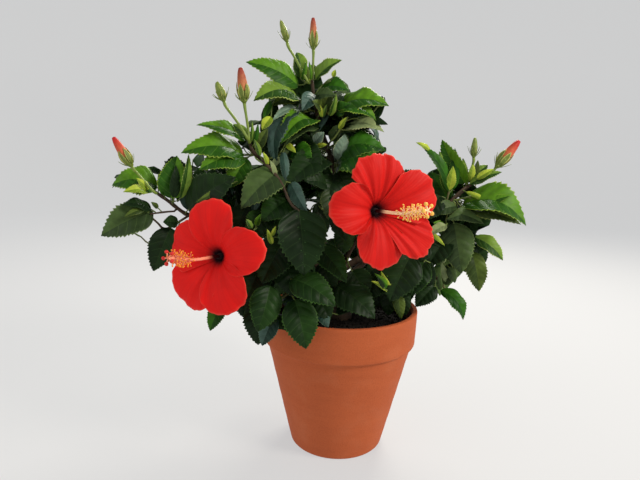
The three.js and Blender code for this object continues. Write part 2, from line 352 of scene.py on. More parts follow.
def turned(radii, heights, sides, finishes=0):
    """A new heap with those rings joined by faces, and the first ring closed; finishes is one
    number, or one for each face between the rings."""
    heap = Heap()
    heap.add(ring_points(radii, heights, sides), grid_faces(len(radii), sides, True), finishes)
    heap.faces(0, [np.arange(sides)[::-1]])
    return heap


def add_rings(heap, points, sides, finish, marks=None):
    """A closed round body: its rings one after another, then the end point of each end."""
    rings = (len(points) - 2) // sides
    start = heap.add(points, grid_faces(rings, sides, True), finish, marks)
    first = np.arange(sides)
    for ring, hub in ((first[::-1], rings * sides), (first + sides * (rings - 1), rings * sides + 1)):
        fan = np.stack([np.full(sides, hub), ring, np.roll(ring, -1)], axis=1)
        heap.faces(start, fan, finish)


def tube(heap, path, radii, sides, finish=0, along_mark=None):
    """A closed round limb; radii is one radius for each point, or one for each point and side.
    along_mark is one number for each point, for a heap that carries one mark."""
    path = np.asarray(path)
    radii = np.asarray(radii, float).reshape(len(path), -1)
    side, over, tangents = frames_along(path)
    angles = round_angles(sides)[None, :, None]
    ring = side[:, None] * np.cos(angles) + over[:, None] * np.sin(angles)
    points = (path[:, None] + ring * radii[:, :, None]).reshape(-1, 3)
    bulge = radii[[0, -1]].mean(axis=1) * 0.4
    ends = np.array([path[0] - tangents[0] * bulge[0], path[-1] + tangents[-1] * bulge[1]])
    marks = None
    if along_mark is not None:
        marks = np.concatenate([np.repeat(along_mark, sides), along_mark[[0, -1]]])[:, None]
    add_rings(heap, np.vstack([points, ends]), sides, finish, marks)


# %% [markdown]
# ## The studio
#
# A wide shallow bowl is floor and backdrop in one, so no horizon line cuts through the crown. It
# glows a little by itself, which keeps its far wall as pale as the floor near the lights. The sun of
# a bright day is a soft light on the right in front, the open sky is the pale world colour, and a
# second light behind the crown gives the leaf edges their bright rims. Standard colour handling
# keeps the petals as strong a red as their paint.

# %% Studio
FLOOR_RADIUS, BOWL_RADIUS, BOWL_RISE, BOWL_SIDES = 2600, 3600, 2300, 64
FLOOR_PAINT = (0.18, 0.175, 0.168, 1)
FLOOR_GLOW = (0.50, 0.505, 0.51, 1)
SKY_COLOUR, SKY_STRENGTH = (0.88, 0.93, 1.0, 1), 0.28
LIT_HEIGHT = 0.28
LIGHTS = {
    # name: (place in metres, width in metres, power in watts, colour)
    "sun_side": ((1.35, -0.75, 1.3), 0.55, 28, (1.0, 0.94, 0.86)),
    "sky_side": ((-1.5, -0.9, 1.3), 1.6, 9, (1.0, 0.97, 0.93)),
    "behind": ((0.45, 1.25, 1.45), 0.7, 42, (1.0, 0.97, 0.9)),
}

scene.view_settings.view_transform = "Standard"
scene.world = bpy.data.worlds.new("open sky")
scene.world.use_nodes = True
background = scene.world.node_tree.nodes["Background"]
background.inputs["Color"].default_value = SKY_COLOUR
background.inputs["Strength"].default_value = SKY_STRENGTH

turns = np.linspace(0, math.pi / 2, 10)
wall_radius = BOWL_RADIUS - FLOOR_RADIUS
radii = np.array([20, *(FLOOR_RADIUS + wall_radius * np.sin(turns)), BOWL_RADIUS])[:, None]
heights = np.array([0, *(wall_radius * (1 - np.cos(turns))), BOWL_RISE])[:, None]
glow = Finish("pale_floor", 0.9, Base_Color=FLOOR_PAINT, Emission_Color=FLOOR_GLOW, Emission_Strength=1.0)
turned(radii, heights, BOWL_SIDES).thing("studio_floor", [glow.material])
for name, (place, width, power, colour) in LIGHTS.items():
    light = bpy.data.objects.new(name, bpy.data.lights.new(name, "AREA"))
    light.data.size = width
    light.data.energy = power
    light.data.color = colour
    light.location = place
    light.rotation_euler = (Vector((0, 0, LIT_HEIGHT)) - light.location).to_track_quat("-Z", "Y").to_euler()
    scene.collection.objects.link(light)
print("lights:", ", ".join(LIGHTS))

# %% [markdown]
# ## Clay, soil and wood
#
# Terracotta is matte and never quite even: fine grit, soft clouds from the kiln, faint level bands
# from the wheel, and a bloom of pale salts. Each of the four is a noise of its own size. The soil is
# dark and rough, and its paint goes almost to black, which is painted shade under the crown. Bark runs
# along the limb, so its noise would have to be stretched, but each limb points another way. The limbs
# therefore get their furrows from the mesh, and the paint only adds flecks.

# %% Materials of pot, soil and wood
def clay():
    finish = Finish("terracotta", 0.8, Specular_IOR_Level=0.2)
    clouds = finish.noise(42, 3.0)
    grit = finish.noise(1.6, 4.0)
    rings = finish.noise(9, 2.0, (0.12, 0.12, 1.0))
    salts = ((finish.noise(30, 5.0) - 0.52) * 5).held()
    tone = (0.28 + clouds * 0.4 + (rings - 0.5) * 0.4).held()
    colour = finish.mix(tone, paint(164, 78, 42), paint(192, 98, 56))
    colour = finish.mix(((grit - 0.45) * 1.1).held(), colour, paint(142, 66, 36))
    colour = finish.mix(salts * 0.05, colour, paint(216, 160, 124))
    return finish.done(colour, grit * 0.5 + rings * 0.5, 0.35)


def soil_finish():
    finish = Finish("potting_soil", 0.95, Specular_IOR_Level=0.2)
    crumbs = finish.noise(2.5, 5.0)
    # near-black crumbs: the soil's own dark colour with painted shade
    return finish.done(finish.mix(crumbs, paint(11, 9, 7), paint(34, 26, 20)), crumbs, 1.2)


def wood(name, dark, light, roughness):
    finish = Finish(name, roughness, Specular_IOR_Level=0.35)
    flecks = finish.noise(2.2, 4.0)
    tone = (flecks * 0.7 + finish.noise(14) * 0.6 - 0.15).held()
    return finish.done(finish.mix(tone, paint(*dark), paint(*light)), flecks, 0.25)


CLAY = clay()
SOIL = soil_finish()
BARK = wood("bark", (36, 27, 20), (86, 68, 48), 0.8)
GREEN_BARK = wood("green_bark", (62, 58, 34), (116, 116, 66), 0.65)
SHOOT = wood("young_shoot", (66, 84, 36), (118, 134, 62), 0.5)
print("paints:", ", ".join(made.name for made in (CLAY, SOIL, BARK, GREEN_BARK, SHOOT)))

# %% [markdown]
# ## Leaf colours
#
# No two leaves in the crown take the light alike, and some of that light is painted into their
# paints. Old leaves are a deep green and the youngest are yellow-green. The glow of the sun through
# the leaves at the top is painted into the lighter greens, and the blue of the sky that the shaded
# ones mirror is a painted reflection in two blue-green paints. A picture or a pattern laid over
# thousands of joined leaves would be muddled, so each leaf gets one of a few paints, and its veins,
# its thin edge and its underside are faces of their own with a paler paint. The pale edge is painted
# rim light, and the half of a leaf that faces the light behind it gets a lighter paint, painted light
# shining through.

# %% Leaf materials
LEAF_TINTS = {
    # name: (blade, vein, edge with painted rim light, the half that the light shines through)
    "dark": ((19, 36, 14), (36, 56, 26), (38, 60, 26), (24, 44, 16)),
    "mid": ((20, 42, 12), (40, 66, 26), (52, 82, 30), (28, 54, 15)),
    "green": ((26, 62, 11), (50, 88, 26), (84, 116, 36), (46, 92, 18)),
    # lighter greens: partly painted sunlight through the leaf
    "bright": ((40, 80, 16), (78, 116, 36), (128, 152, 56), (82, 126, 26)),
    "lit": ((42, 72, 24), (100, 128, 54), (160, 174, 88), (108, 138, 50)),
    "young": ((112, 136, 36), (150, 168, 66), (178, 188, 88), (170, 186, 60)),
    "olive": ((48, 64, 26), (74, 90, 42), (106, 120, 54), (80, 98, 38)),
    "grey": ((46, 62, 34), (66, 84, 46), (92, 110, 60), (66, 86, 44)),
    # painted shade, with a painted reflection of the blue sky
    "shade": ((34, 56, 46), (54, 78, 62), (86, 108, 88), (70, 94, 84)),
    # a painted reflection of the pale sky on glossy leaves
    "mist": ((104, 128, 108), (128, 148, 124), (176, 188, 140), (124, 148, 126)),
    "pale": ((118, 132, 88), (136, 150, 104), (164, 174, 116), (134, 148, 98)),
}
LEAF_PARTS = ("leaf_", "vein_", "lit_edge_", "lit_")
BLADE, VEIN, LIT_EDGE, LIT_HALF = range(4)
UNDERSIDES = {"light": (92, 120, 62), "deep": (50, 78, 40)}
DEEP_TINTS = ("dark", "mid", "grey", "shade")
MOTTLE = 0.3


def leaf_finish(name, colour, roughness):
    finish = Finish(name, roughness, Specular_IOR_Level=0.11)
    darker, lighter = (tuple(c * share for c in paint(*colour)) for share in (1 - MOTTLE, 1 + MOTTLE))
    return finish.done(finish.mix((finish.noise(9) * 1.6 - 0.3).held(), darker, lighter))


TINT_NAMES = list(LEAF_TINTS)
LEAF_FINISHES = [
    leaf_finish(part + tint, colour, 0.46)
    for tint, colours in LEAF_TINTS.items()
    for part, colour in zip(LEAF_PARTS, colours)
]
LEAF_FINISHES += [leaf_finish("underside_" + name, colour, 0.6) for name, colour in UNDERSIDES.items()]
print(len(LEAF_FINISHES), "leaf paints")

# %% [markdown]
# ## Petal, stamen and bud colours
#
# A petal is red with a maroon throat, painted near black as the shade deep in the funnel. It is
# finely creased along its length, with darker veins and painted shade in its folds and towards the
# throat, and a little paler at the rim, a painted sheen where it thins. Those colours have a place on
# the petal, so the mesh carries three numbers at each point, for the throat, the creases and the rim,
# and the paint reads them. The bloom on the left has the sun on it, painted in as a lighter, warmer red.

# %% Petal materials
def petal_finish(name, red, dark_red_and_shade, rim):
    finish = Finish(name, 0.6, Specular_IOR_Level=0.16)
    red, dark_red_and_shade, rim = paint(*red), paint(*dark_red_and_shade), paint(*rim)
    veins_and_fold_shade = finish.mark("veins_and_fold_shade")
    # darker red along the veins, with painted shade in the folds and near the throat
    colour = finish.mix((veins_and_fold_shade * 0.42).held(), red, dark_red_and_shade)
    colour = finish.mix((veins_and_fold_shade * -0.5).held(), colour, rim)
    colour = finish.mix((finish.noise(14) * 0.5 - 0.1).held(), colour, dark_red_and_shade)
    # a paler rim: a painted sheen where the petal thins
    colour = finish.mix((finish.mark("rim") * 0.45).held(), colour, rim)
    # the maroon eye, darkened to near black as painted shade deep in the funnel
    colour = finish.mix(finish.mark("throat"), colour, paint(30, 2, 8))
    return finish.done(colour, finish.noise(1.4) * 0.4 - veins_and_fold_shade, 0.08)


def plain_finish(name, first, second, grain, roughness):
    """Two close colours in patches of one size."""
    finish = Finish(name, roughness, Specular_IOR_Level=0.4)
    return finish.done(finish.mix(finish.noise(grain), paint(*first), paint(*second)))


def column_finish(name, first, second):
    """The flesh of a column, with painted shade where it leaves the throat."""
    finish = Finish(name, 0.5, Specular_IOR_Level=0.3)
    flesh = finish.mix(finish.noise(4), paint(*first), paint(*second))
    return finish.done(finish.mix(finish.mark("shade"), flesh, paint(44, 4, 8)))


def bud_finish(name, low, high):
    """Rolled bud petals, whose tip has more colour than their foot."""
    finish = Finish(name, 0.6, Specular_IOR_Level=0.25)
    blush = (finish.mark("blush") * 1.1 + finish.noise(3) * 0.5 - 0.25).held()
    return finish.done(finish.mix(blush, paint(*low), paint(*high)))


PETALS = {
    # the left bloom's red is painted lighter and warmer: painted sunlight
    "left": petal_finish("petal_red_painted_sunlit", (232, 20, 14), (180, 9, 9), (244, 92, 74)),
    "right": petal_finish("petal_red", (208, 21, 13), (158, 9, 8), (236, 92, 74)),
}
SALMON = column_finish("column_salmon", (244, 132, 104), (250, 164, 128))
CREAM = column_finish("column_cream", (250, 206, 150), (255, 230, 186))
ORANGE = plain_finish("anther_orange", (236, 118, 22), (250, 168, 50), 1.5, 0.7)
YELLOW = plain_finish("anther_yellow", (242, 160, 40), (255, 218, 112), 1.5, 0.7)
STIGMA = plain_finish("stigma_red", (196, 16, 20), (226, 52, 40), 1.5, 0.6)
SEPAL = plain_finish("sepal_green", (84, 106, 34), (126, 140, 56), 5, 0.5)
SEPAL_EDGE = plain_finish("sepal_pale", (150, 158, 76), (190, 186, 104), 4, 0.5)
FRESH_STALK = plain_finish("bud_stalk", (92, 118, 40), (132, 150, 62), 6, 0.5)
BUD_GREEN = plain_finish("bud_green", (92, 116, 38), (134, 146, 60), 5, 0.5)
BUD_ORANGE = bud_finish("bud_orange", (196, 126, 80), (142, 50, 38))
BUD_RED = bud_finish("bud_red", (204, 110, 70), (180, 22, 28))
# darker clay for the hollow: the stain of damp, darkened further as painted shade
DAMP_SHADED_CLAY = plain_finish("damp_shaded_clay", (38, 24, 16), (80, 46, 30), 12, 0.9)
# near-black maroon: the throat's own colour, darkened as painted shade
THROAT_SHADE = plain_finish("throat_maroon_shade", (20, 2, 6), (34, 4, 9), 3, 0.95)
print("petal reds:", ", ".join(made.name for made in PETALS.values()))

# %% [markdown]
# ## The pot
#
# A terracotta pot is thrown or pressed in one piece: a body that tapers to its foot, a thick collar
# that overhangs it, a narrow lip, and the hollow. Turning one profile round the upright axis gives
# all of it. Each corner of the profile is rounded by its own arc, because a sharp edge catches no
# light, and a slight unevenness round the pot keeps it from looking like a machine part. The hollow
# is painted as damp clay darkened by painted shade, from just under the lip.

# %% Pot
POT_RIM, _, POT_TOP = (float(c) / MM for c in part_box("pot")[1])
COLLAR_FOOT, SHOULDER, POT_FOOT = 98.0, 94.0, 60.4
COLLAR, LIP, WALL, POT_FLOOR = 44.0, 7.0, 8.0, 10.0
DRY_LIT_LIP = 3
POT_SIDES = 160
PROFILE_SPACING = 3.0
ARC_STEPS = 5


def rounded(corners):
    """A profile whose corners, given as (radius, height, rounding), are turned into small arcs."""
    profile = []
    for k, (r, z, rounding) in enumerate(corners):
        here = np.array([r, z])
        if rounding == 0:
            profile.append(here)
            continue
        before, after = (np.array(corners[n % len(corners)][:2]) for n in (k - 1, k + 1))
        start = here + unit(before - here) * rounding
        end = here + unit(after - here) * rounding
        for t in np.linspace(0, 1, ARC_STEPS):
            profile.append(start * (1 - t) ** 2 + here * 2 * t * (1 - t) + end * t**2)
    return profile


def finely(profile, spacing):
    """The same profile with extra points on its long stretches."""
    points = [profile[0]]
    for a, b in zip(profile, profile[1:]):
        pieces = max(1, int(np.linalg.norm(b - a) / spacing))
        points += [a + (b - a) * k / pieces for k in range(1, pieces + 1)]
    return np.array(points)


def hand_made(angle, height, radius):
    """The unevenness of a clay wall: shallow turning rings and a rim that is not quite round."""
    rings = 0.10 * np.sin(height * 1.9) + 0.07 * np.sin(height * 4.3 + 1.0)
    swell = 0.16 * np.sin(2 * angle + 0.6) + 0.10 * np.sin(3 * angle + height / 40)
    return (rings + swell) * np.clip(radius / POT_FOOT - 0.3, 0, 1)


collar_foot = POT_TOP - COLLAR
profile = finely(rounded([
    (1.0, 0.0, 0), (POT_FOOT, 0.0, 3.0), (SHOULDER, collar_foot - 0.4, 0.8),
    (COLLAR_FOOT, collar_foot, 2.4), (POT_RIM - 0.2, POT_TOP, 2.6),
    (POT_RIM - LIP, POT_TOP, 2.2), (SHOULDER - WALL, collar_foot, 4.0),
    (POT_FOOT - WALL + 2, POT_FLOOR, 3.0), (1.0, POT_FLOOR, 0),
]), PROFILE_SPACING)
after_the_lip = np.arange(len(profile) - 1) > profile[:, 1].argmax()
# faces of the hollow below the lip's top band: damp clay with painted shade
damp_and_shade = (after_the_lip & (profile[:-1, 1] < POT_TOP - DRY_LIT_LIP)).astype(int)
radii, heights = profile[:, :1], profile[:, 1:]
radii = radii + hand_made(round_angles(POT_SIDES), heights, radii)
heap = turned(radii, heights, POT_SIDES, np.repeat(damp_and_shade, POT_SIDES))
heap.faces(0, [np.arange(POT_SIDES) + (len(profile) - 1) * POT_SIDES], damp_and_shade[-1])
heap.piece("terracotta_pot", [CLAY, DAMP_SHADED_CLAY], "terracotta", "pot")

# %% [markdown]
# ## The soil
#
# Potting compost is a crumbly cushion a little below the rim. A turned disc whose height follows a
# few waves is its surface, and several hundred small lumps with their own shapes lie on it. They are
# eight-sided stones bent by noise, which is enough at the size of a crumb.

# %% Soil
SOIL_RADIUS, _, SOIL_TOP = (float(c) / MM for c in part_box("potting_soil")[1])
SOIL_DEPTH = 30
SOIL_SIDES, SOIL_RINGS = 72, 24
CRUMBS = 700
CRUMB_SIZES = (0.7, 2.6)


def soil_height(x, y):
    waves = np.sin(x / 9.0 + 1.0) * np.cos(y / 11.0) + 0.5 * np.sin(x / 4.1 - y / 5.3)
    heaped = 2.5 * np.exp(-(x**2 + y**2) / 900)
    return SOIL_TOP - 1.2 + 0.7 * waves + heaped


def soil(heap):
    radii = np.concatenate([[1.0], np.linspace(4, SOIL_RADIUS - 0.8, SOIL_RINGS)])[:, None]
    top = ring_points(radii, 0.0, SOIL_SIDES)
    top[:, 2] = soil_height(top[:, 0], top[:, 1])
    foot = top[-SOIL_SIDES:] * [0.97, 0.97, 0] + [0, 0, SOIL_TOP - SOIL_DEPTH]
    hub = foot * [0.02, 0.02, 1]
    heap.add(np.vstack([top, foot, hub]), grid_faces(len(radii) + 2, SOIL_SIDES, True)[:, ::-1])


def crumb(heap, centre, size):
    """A small eight-sided lump, bent and turned by chance."""
    corners = np.array([[1, 0, 0], [0, 1, 0], [-1, 0, 0], [0, -1, 0], [0, 0, 1], [0, 0, -1]], float)
    corners = corners * rng.uniform(0.6, 1.2, (6, 1)) @ np.linalg.qr(rng.normal(size=(3, 3)))[0]
    upper = [(k, (k + 1) % 4, 4) for k in range(4)]
    lower = [((k + 1) % 4, k, 5) for k in range(4)]
    heap.add(centre + corners * size, upper + lower)


heap = Heap()
soil(heap)
for _ in range(CRUMBS):
    angle = rng.uniform(0, 2 * math.pi)
    away = (SOIL_RADIUS - 5) * math.sqrt(rng.uniform(0.01, 1))
    size = rng.uniform(*CRUMB_SIZES)
    x = away * math.cos(angle)
    y = away * math.sin(angle)
    crumb(heap, np.array([x, y, soil_height(x, y) + size * 0.2]), size)
heap.piece("soil_and_crumbs", [SOIL], "potting_soil", "potting_soil")

# %% [markdown]
# ## Trunk and boughs
#
# The frame holds each limb as a plain six-sided rod. Its middle line and its thickness are read off
# by cutting the rod across at a row of planes, and a rounder, finer tube follows them. Bark is
# modelled, not only painted: furrows run along the limb, and a ring shows at each old leaf scar.

# %% Limbs from the frame
LIMB_CUTS = 12
LIMB_SIDES = 18
LIMB_SPACING = 2.2
SCAR_SPACING = 17.0
BARK_RELIEF, SCAR_RELIEF = 0.07, 0.16
BOUGH_SLIM = 0.78
ROOTED = 7


def mesh_points(node):
    return np.array([vertex.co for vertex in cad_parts[node].data.vertices]) / MM


def middle_line(node):
    """Centres and radii of a limb's rod, from its foot to its tip."""
    points = mesh_points(node)
    edges = np.array([edge.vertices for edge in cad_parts[node].data.edges])
    axis = np.linalg.svd(points - points.mean(axis=0))[2][0]
    heights = points @ axis
    under = np.array([0, 0, 200])
    if np.linalg.norm(points[heights.argmin()] - under) > np.linalg.norm(points[heights.argmax()] - under):
        axis = -axis
        heights = -heights
    low, high = heights[edges].min(axis=1), heights[edges].max(axis=1)
    centres, radii = [], []
    for share in np.linspace(0.04, 0.96, LIMB_CUTS):
        level = heights.min() + share * np.ptp(heights)
        cut = edges[(low < level) & (high > level)]
        a, b = points[cut[:, 0]], points[cut[:, 1]]
        crossing = a + (b - a) * ((level - a @ axis) / ((b - a) @ axis))[:, None]
        centres.append(crossing.mean(axis=0))
        radii.append(np.median(lengths(crossing - crossing.mean(axis=0))))
    return np.array(centres), np.array(radii)


def bark_radii(path, radii, own):
    """Radii round each ring, with furrows, lumps and the rings of old leaf scars."""
    angles = round_angles(LIMB_SIDES)[None, :]
    along = np.concatenate([[0], np.cumsum(lengths(np.diff(path, axis=0)))])[:, None]
    furrows = np.sin(5 * angles + 1.3 * np.sin(along / 9 + own)) * 0.6
    furrows = furrows + np.sin(8 * angles - along / 13) * 0.4
    lumps = np.sin(along / 5.1 + own) * np.cos(2 * angles + along / 17)
    scar = np.exp(-(((along / SCAR_SPACING + own) % 1 - 0.5) * 7) ** 2)
    return radii[:, None] * (1 + BARK_RELIEF * (furrows + 0.6 * lumps) + SCAR_RELIEF * scar)


LIMBS = {}
heap = Heap()
for own, node in enumerate(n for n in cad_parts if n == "trunk" or n.startswith("bough_")):
    centres, radii = middle_line(node)
    if node != "trunk":
        centres = np.vstack([centres[0] - unit(centres[1] - centres[0]) * ROOTED, centres])
        radii = np.concatenate([radii[:1], radii])
    path = curve(centres, max(12, int(lengths(np.diff(centres, axis=0)).sum() / LIMB_SPACING)))
    radii = np.interp(np.linspace(0, 1, len(path)), np.linspace(0, 1, len(radii)), radii)
    if node == "trunk":
        path[0, 2] = SOIL_TOP - 2
    else:
        radii = radii * np.linspace(1, BOUGH_SLIM, len(path))
    tube(heap, path, bark_radii(path, radii, own), LIMB_SIDES)
    LIMBS[node] = (path, radii)
heap.piece("trunk_and_boughs", [BARK], "bark", *sorted(LIMBS))
print(len(LIMBS), "limbs")

# %% [markdown]
# ## The branching rule
#
# A shrub fills its crown by reaching for light: every new twig starts at the nearest wood and heads
# for an empty place. `Wood` keeps every point where a twig could start. To hang a leaf, it finds the
# best starting point, which is near, lies ahead rather than back down the limb and no further out
# from the heart of the crown than the leaf, so twigs run outwards. Then it grows a twig most
# of the way, remembers it for later leaves, and adds the thin leaf stalk. The leaves come in order
# of distance, so far ones branch from the twigs of near ones.

# %% Wood that grows
STALK, SHORT_STALK = 17.0, 6.0
TWIG_SPACING = 5.0
BACKWARD_PENALTY = 0.55
INWARD_PENALTY = 0.9
HEART = np.array([0.0, 10.0, 215.0])
TWIG_SIDES, STALK_SIDES = 7, 5
STALK_RADII = [0.95, 0.8, 0.7, 0.7, 0.7, 0.7, 0.75, 0.85]
WOODY_LENGTH = 45
GREEN_TWIG, YOUNG_TWIG, BUD_STALK, BROWN_TWIG = range(4)


class Wood:
    """The growing skeleton: where twigs can start, which way they run there, and how thick."""

    def __init__(self):
        self.heap = Heap()
        self.points = np.empty((0, 3))
        self.headings = np.empty((0, 3))
        self.radii = np.empty(0)
        self.route = lambda path: path

    def remember(self, path, radii):
        headings = np.gradient(path, axis=0)
        self.points = np.vstack([self.points, path])
        self.headings = np.vstack([self.headings, headings / lengths(headings)[:, None]])
        self.radii = np.concatenate([self.radii, radii])

    def shoot(self, places, thick, thin, finish):
        """A twig through some places, which later leaves can start from."""
        length = lengths(np.diff(places, axis=0)).sum()
        path = self.route(curve(places, max(4, int(length / TWIG_SPACING))))
        radii = np.linspace(thick, thin, len(path))
        nodes = 1 + 0.16 * (np.arange(len(path)) % 3 == 0)
        tube(self.heap, path, radii * nodes, TWIG_SIDES, finish)
        self.remember(path, radii)

    def start(self, target):
        """The number of the best starting point for a twig to a place."""
        way = target - self.points
        distance = lengths(way)
        ahead = (way * self.headings).sum(axis=1) / np.maximum(distance, 1e-6)
        beyond = lengths(self.points - HEART) - np.linalg.norm(target - HEART)
        cost = distance * (1 + BACKWARD_PENALTY * (1 - ahead)) + INWARD_PENALTY * np.maximum(beyond, 0)
        return int(np.argmin(cost))

    def hang(self, foot, heading, stalk):
        """Grows towards the foot of a leaf whose blade sets off along heading, and adds its stalk."""
        k = self.start(foot)
        origin, radius = self.points[k], self.radii[k]
        gap = np.linalg.norm(foot - origin)
        if gap > stalk * 1.7:
            end = foot - unit(foot - origin) * stalk * 0.8 - unit(heading) * stalk * 0.25
            middle = (origin + end) / 2 + self.headings[k] * gap * 0.16
            thick = min(radius * 0.75, 0.9 + gap / 70)
            paint_number = GREEN_TWIG if gap > WOODY_LENGTH else YOUNG_TWIG
            self.shoot([origin, middle, end], thick, 0.9, paint_number)
            origin = self.points[-1]
            gap = np.linalg.norm(foot - origin)
        bend = (origin + foot) / 2 - unit(heading) * gap * 0.12
        path = self.route(curve([origin, bend, foot + unit(heading) * 0.8], len(STALK_RADII)))
        tube(self.heap, path, STALK_RADII, STALK_SIDES, YOUNG_TWIG)


twigs = Wood()
for path, radii in LIMBS.values():
    twigs.remember(path[::2], radii[::2])
print(len(twigs.points), "places where a twig can start")

# %% [markdown]
# ## A leaf
#
# A hibiscus leaf is egg-shaped, pointed and toothed, and its side veins run straight from the midrib
# to the teeth. So the rows of its mesh run along those veins instead of straight across: the vein
# ends are the teeth, a thin strip of faces beside each row is the vein itself, and the blade between
# two veins swells like quilting. The flat pattern is made once, and each leaf bends it along its own
# arched midrib. A second sheet a third of a millimetre below is the paler underside.

# %% Leaf pattern
def held(numbers):
    return np.clip(numbers, 0, 1)


def leaf_pattern(veins, steps, half, lit_edge_paint):
    """Along, across and relief of each point of a flat leaf, and its faces with their kinds."""
    rows = np.array([(k + step) / veins for k in range(veins) for step in steps] + [1.0])
    between = np.array(steps * veins + [0.0])
    across = np.array([-a for a in half[::-1]] + half)
    side = np.abs(across)[None, :]
    inner = held((rows - 0.2) / 0.8)[:, None]
    outer = rows[:, None] ** 0.82
    outline = np.clip(outer, 0.004, 0.996)
    half_width = outline**0.58 * (1 - outline) ** 0.98
    half_width = half_width / half_width.max()
    saw = np.interp(between, [0, 0.05, 0.3, 0.5, 0.72, 1], [1.0, 0.8, -0.5, 0.8, -0.5, 1.0])[:, None]
    teeth = saw * held((side - 0.7) / 0.3) * held(outer * 4 - 0.8) * held(9 - outer * 9)
    taper = np.where(side < 0.06, 1.25 - 0.8 * rows[:, None], 1.0)
    swell = np.sin(math.pi * between)[:, None] * held(side * 4) * (1 - side**4)
    count, width = len(rows), len(across)
    top = grid_faces(count, width, False)
    row, column = top[:, 0] // width, top[:, 0] % width
    on_midrib = column == width // 2 - 1
    on_vein = (between[row] == 0) & (row >= len(steps) - 1)
    on_edge = (column == 0) | (column == width - 2)
    return {
        "along": inner + (outer - inner) * side**1.25 + 0.018 * teeth,
        "across": across[None, :] * half_width * (1 + 0.075 * teeth) * taper,
        "swell": np.where((between < 0.08)[:, None], 0, swell),
        "top": top,
        "below": top[:, ::-1] + count * width,
        "rim": sheet_edges(count, width),
        # the outermost faces get the edge paint, a painted rim light, when that is asked for
        "kinds": np.where(on_edge & lit_edge_paint, LIT_EDGE, np.where(on_midrib | on_vein, VEIN, BLADE)),
        "half": np.sign(column - width // 2 + 1),
    }


FINE = leaf_pattern(7, [0.0, 0.05, 0.3, 0.5, 0.72], [0.022, 0.24, 0.48, 0.72, 0.95, 1.0], True)
PLAIN = leaf_pattern(6, [0.0, 0.07, 0.5], [0.03, 0.52, 1.0], False)
for kind, pattern in {"a fine leaf": FINE, "a plain leaf": PLAIN}.items():
    print(kind, "has", len(pattern["top"]) * 4 + len(pattern["rim"]) * 2, "triangles")

# %% One leaf in its place
THICKNESS = 0.35
LIGHT_BEHIND = unit(np.array(LIGHTS["behind"][0]))
QUILTING = 0.028
UNDERSIDE = len(LEAF_PARTS) * len(TINT_NAMES)


def bent(foot, tip, facing, width, arch, fold, twist, pattern):
    """A leaf in its place: the points of its upper sheet, and their normals under "over". facing is
    the way that its upper side looks, arch the rise of its midrib against its length, and fold the
    angle by which each half is lifted."""
    length = np.linalg.norm(tip - foot)
    along = unit(tip - foot)
    up = unit(facing - along * np.dot(facing, along))
    right = np.cross(along, up)
    t = np.clip(pattern["along"], 0, 1.02)
    slope = np.arctan(arch * 4 * (1 - 2 * t) * 0.9)
    rise = arch * length * 4 * t * (1 - t)
    spine = foot + along * (t * length)[..., None] + up * rise[..., None]
    normal = up * np.cos(slope)[..., None] - along * np.sin(slope)[..., None]
    turn = math.radians(twist) * (t - 0.3)
    side = right * np.cos(turn)[..., None] + normal * np.sin(turn)[..., None]
    over = normal * np.cos(turn)[..., None] - right * np.sin(turn)[..., None]
    x = pattern["across"] * width / 2
    share = np.abs(pattern["across"])
    ripple, turns, curl = rng.uniform([0.03, 1.3, -0.16], [0.09, 2.3, 0.02])
    wave = ripple * width * share**2 * np.sin(2 * math.pi * (turns * t + 0.4 * np.sign(x) + rng.uniform()))
    curl = curl * width * share**2.5
    height = QUILTING * width * pattern["swell"] + wave + curl + np.abs(x) * math.sin(math.radians(fold))
    sheet = spine + side * (x * math.cos(math.radians(fold)))[..., None] + over * height[..., None]
    return {"foot": foot, "tip": tip, "width": width, "pattern": pattern,
            "sheet": sheet.reshape(-1, 3), "over": over.reshape(-1, 3)}


def add_leaf(heap, leaf):
    """A closed leaf: the upper sheet, the underside below it and the thin rim between them. The half
    that lies more towards the light behind gets the paint of a half with light in it."""
    sheet, pattern = leaf["sheet"], leaf["pattern"]
    paints = TINT_NAMES.index(leaf["tint"]) * len(LEAF_PARTS)
    faces_light = (sheet[pattern["top"]].mean(axis=1) - sheet.mean(axis=0)) @ LIGHT_BEHIND
    lit = np.sign((faces_light * pattern["half"]).sum())
    in_light = (pattern["kinds"] == BLADE) & (pattern["half"] == lit)
    kinds = np.where(in_light, LIT_HALF, pattern["kinds"])
    points = np.vstack([sheet, sheet - leaf["over"] * THICKNESS])
    start = heap.add(points, pattern["top"], paints + kinds)
    heap.faces(start, pattern["below"], UNDERSIDE + (leaf["tint"] in DEEP_TINTS))
    heap.faces(start, pattern["rim"], paints, smooth=False)


def facing_turned(foot, tip, turn):
    """The way a leaf's upper side looks. 0 is at the camera, and a positive turn leans it to the
    sky, or to the right where the leaf hangs straight up or down."""
    along = unit(tip - foot)
    to_eye = EYE - (foot + tip) / 2
    to_eye = unit(to_eye - along * np.dot(to_eye, along))
    aside = np.cross(along, to_eye)
    aside = aside * np.sign(aside[2] if abs(aside[2]) > 0.25 else aside[0])
    return spoke(to_eye, aside, math.radians(turn))


# %% [markdown]
# ## Shoots and leaves that the photograph shows
#
# The four long shoots go on from the ends of their boughs through the places where they are seen.
# Each leaf that can be told apart is one row: the pixels of its foot and tip, how deep both lie
# (millimetres behind the trunk's axis, so negative is nearer), its width in millimetres, how far it
# turns to the sky in degrees, and its paint; then the arch of its midrib and the fold of its halves,
# where they aren't the usual ones. The sight lines and the depths then give its real place.

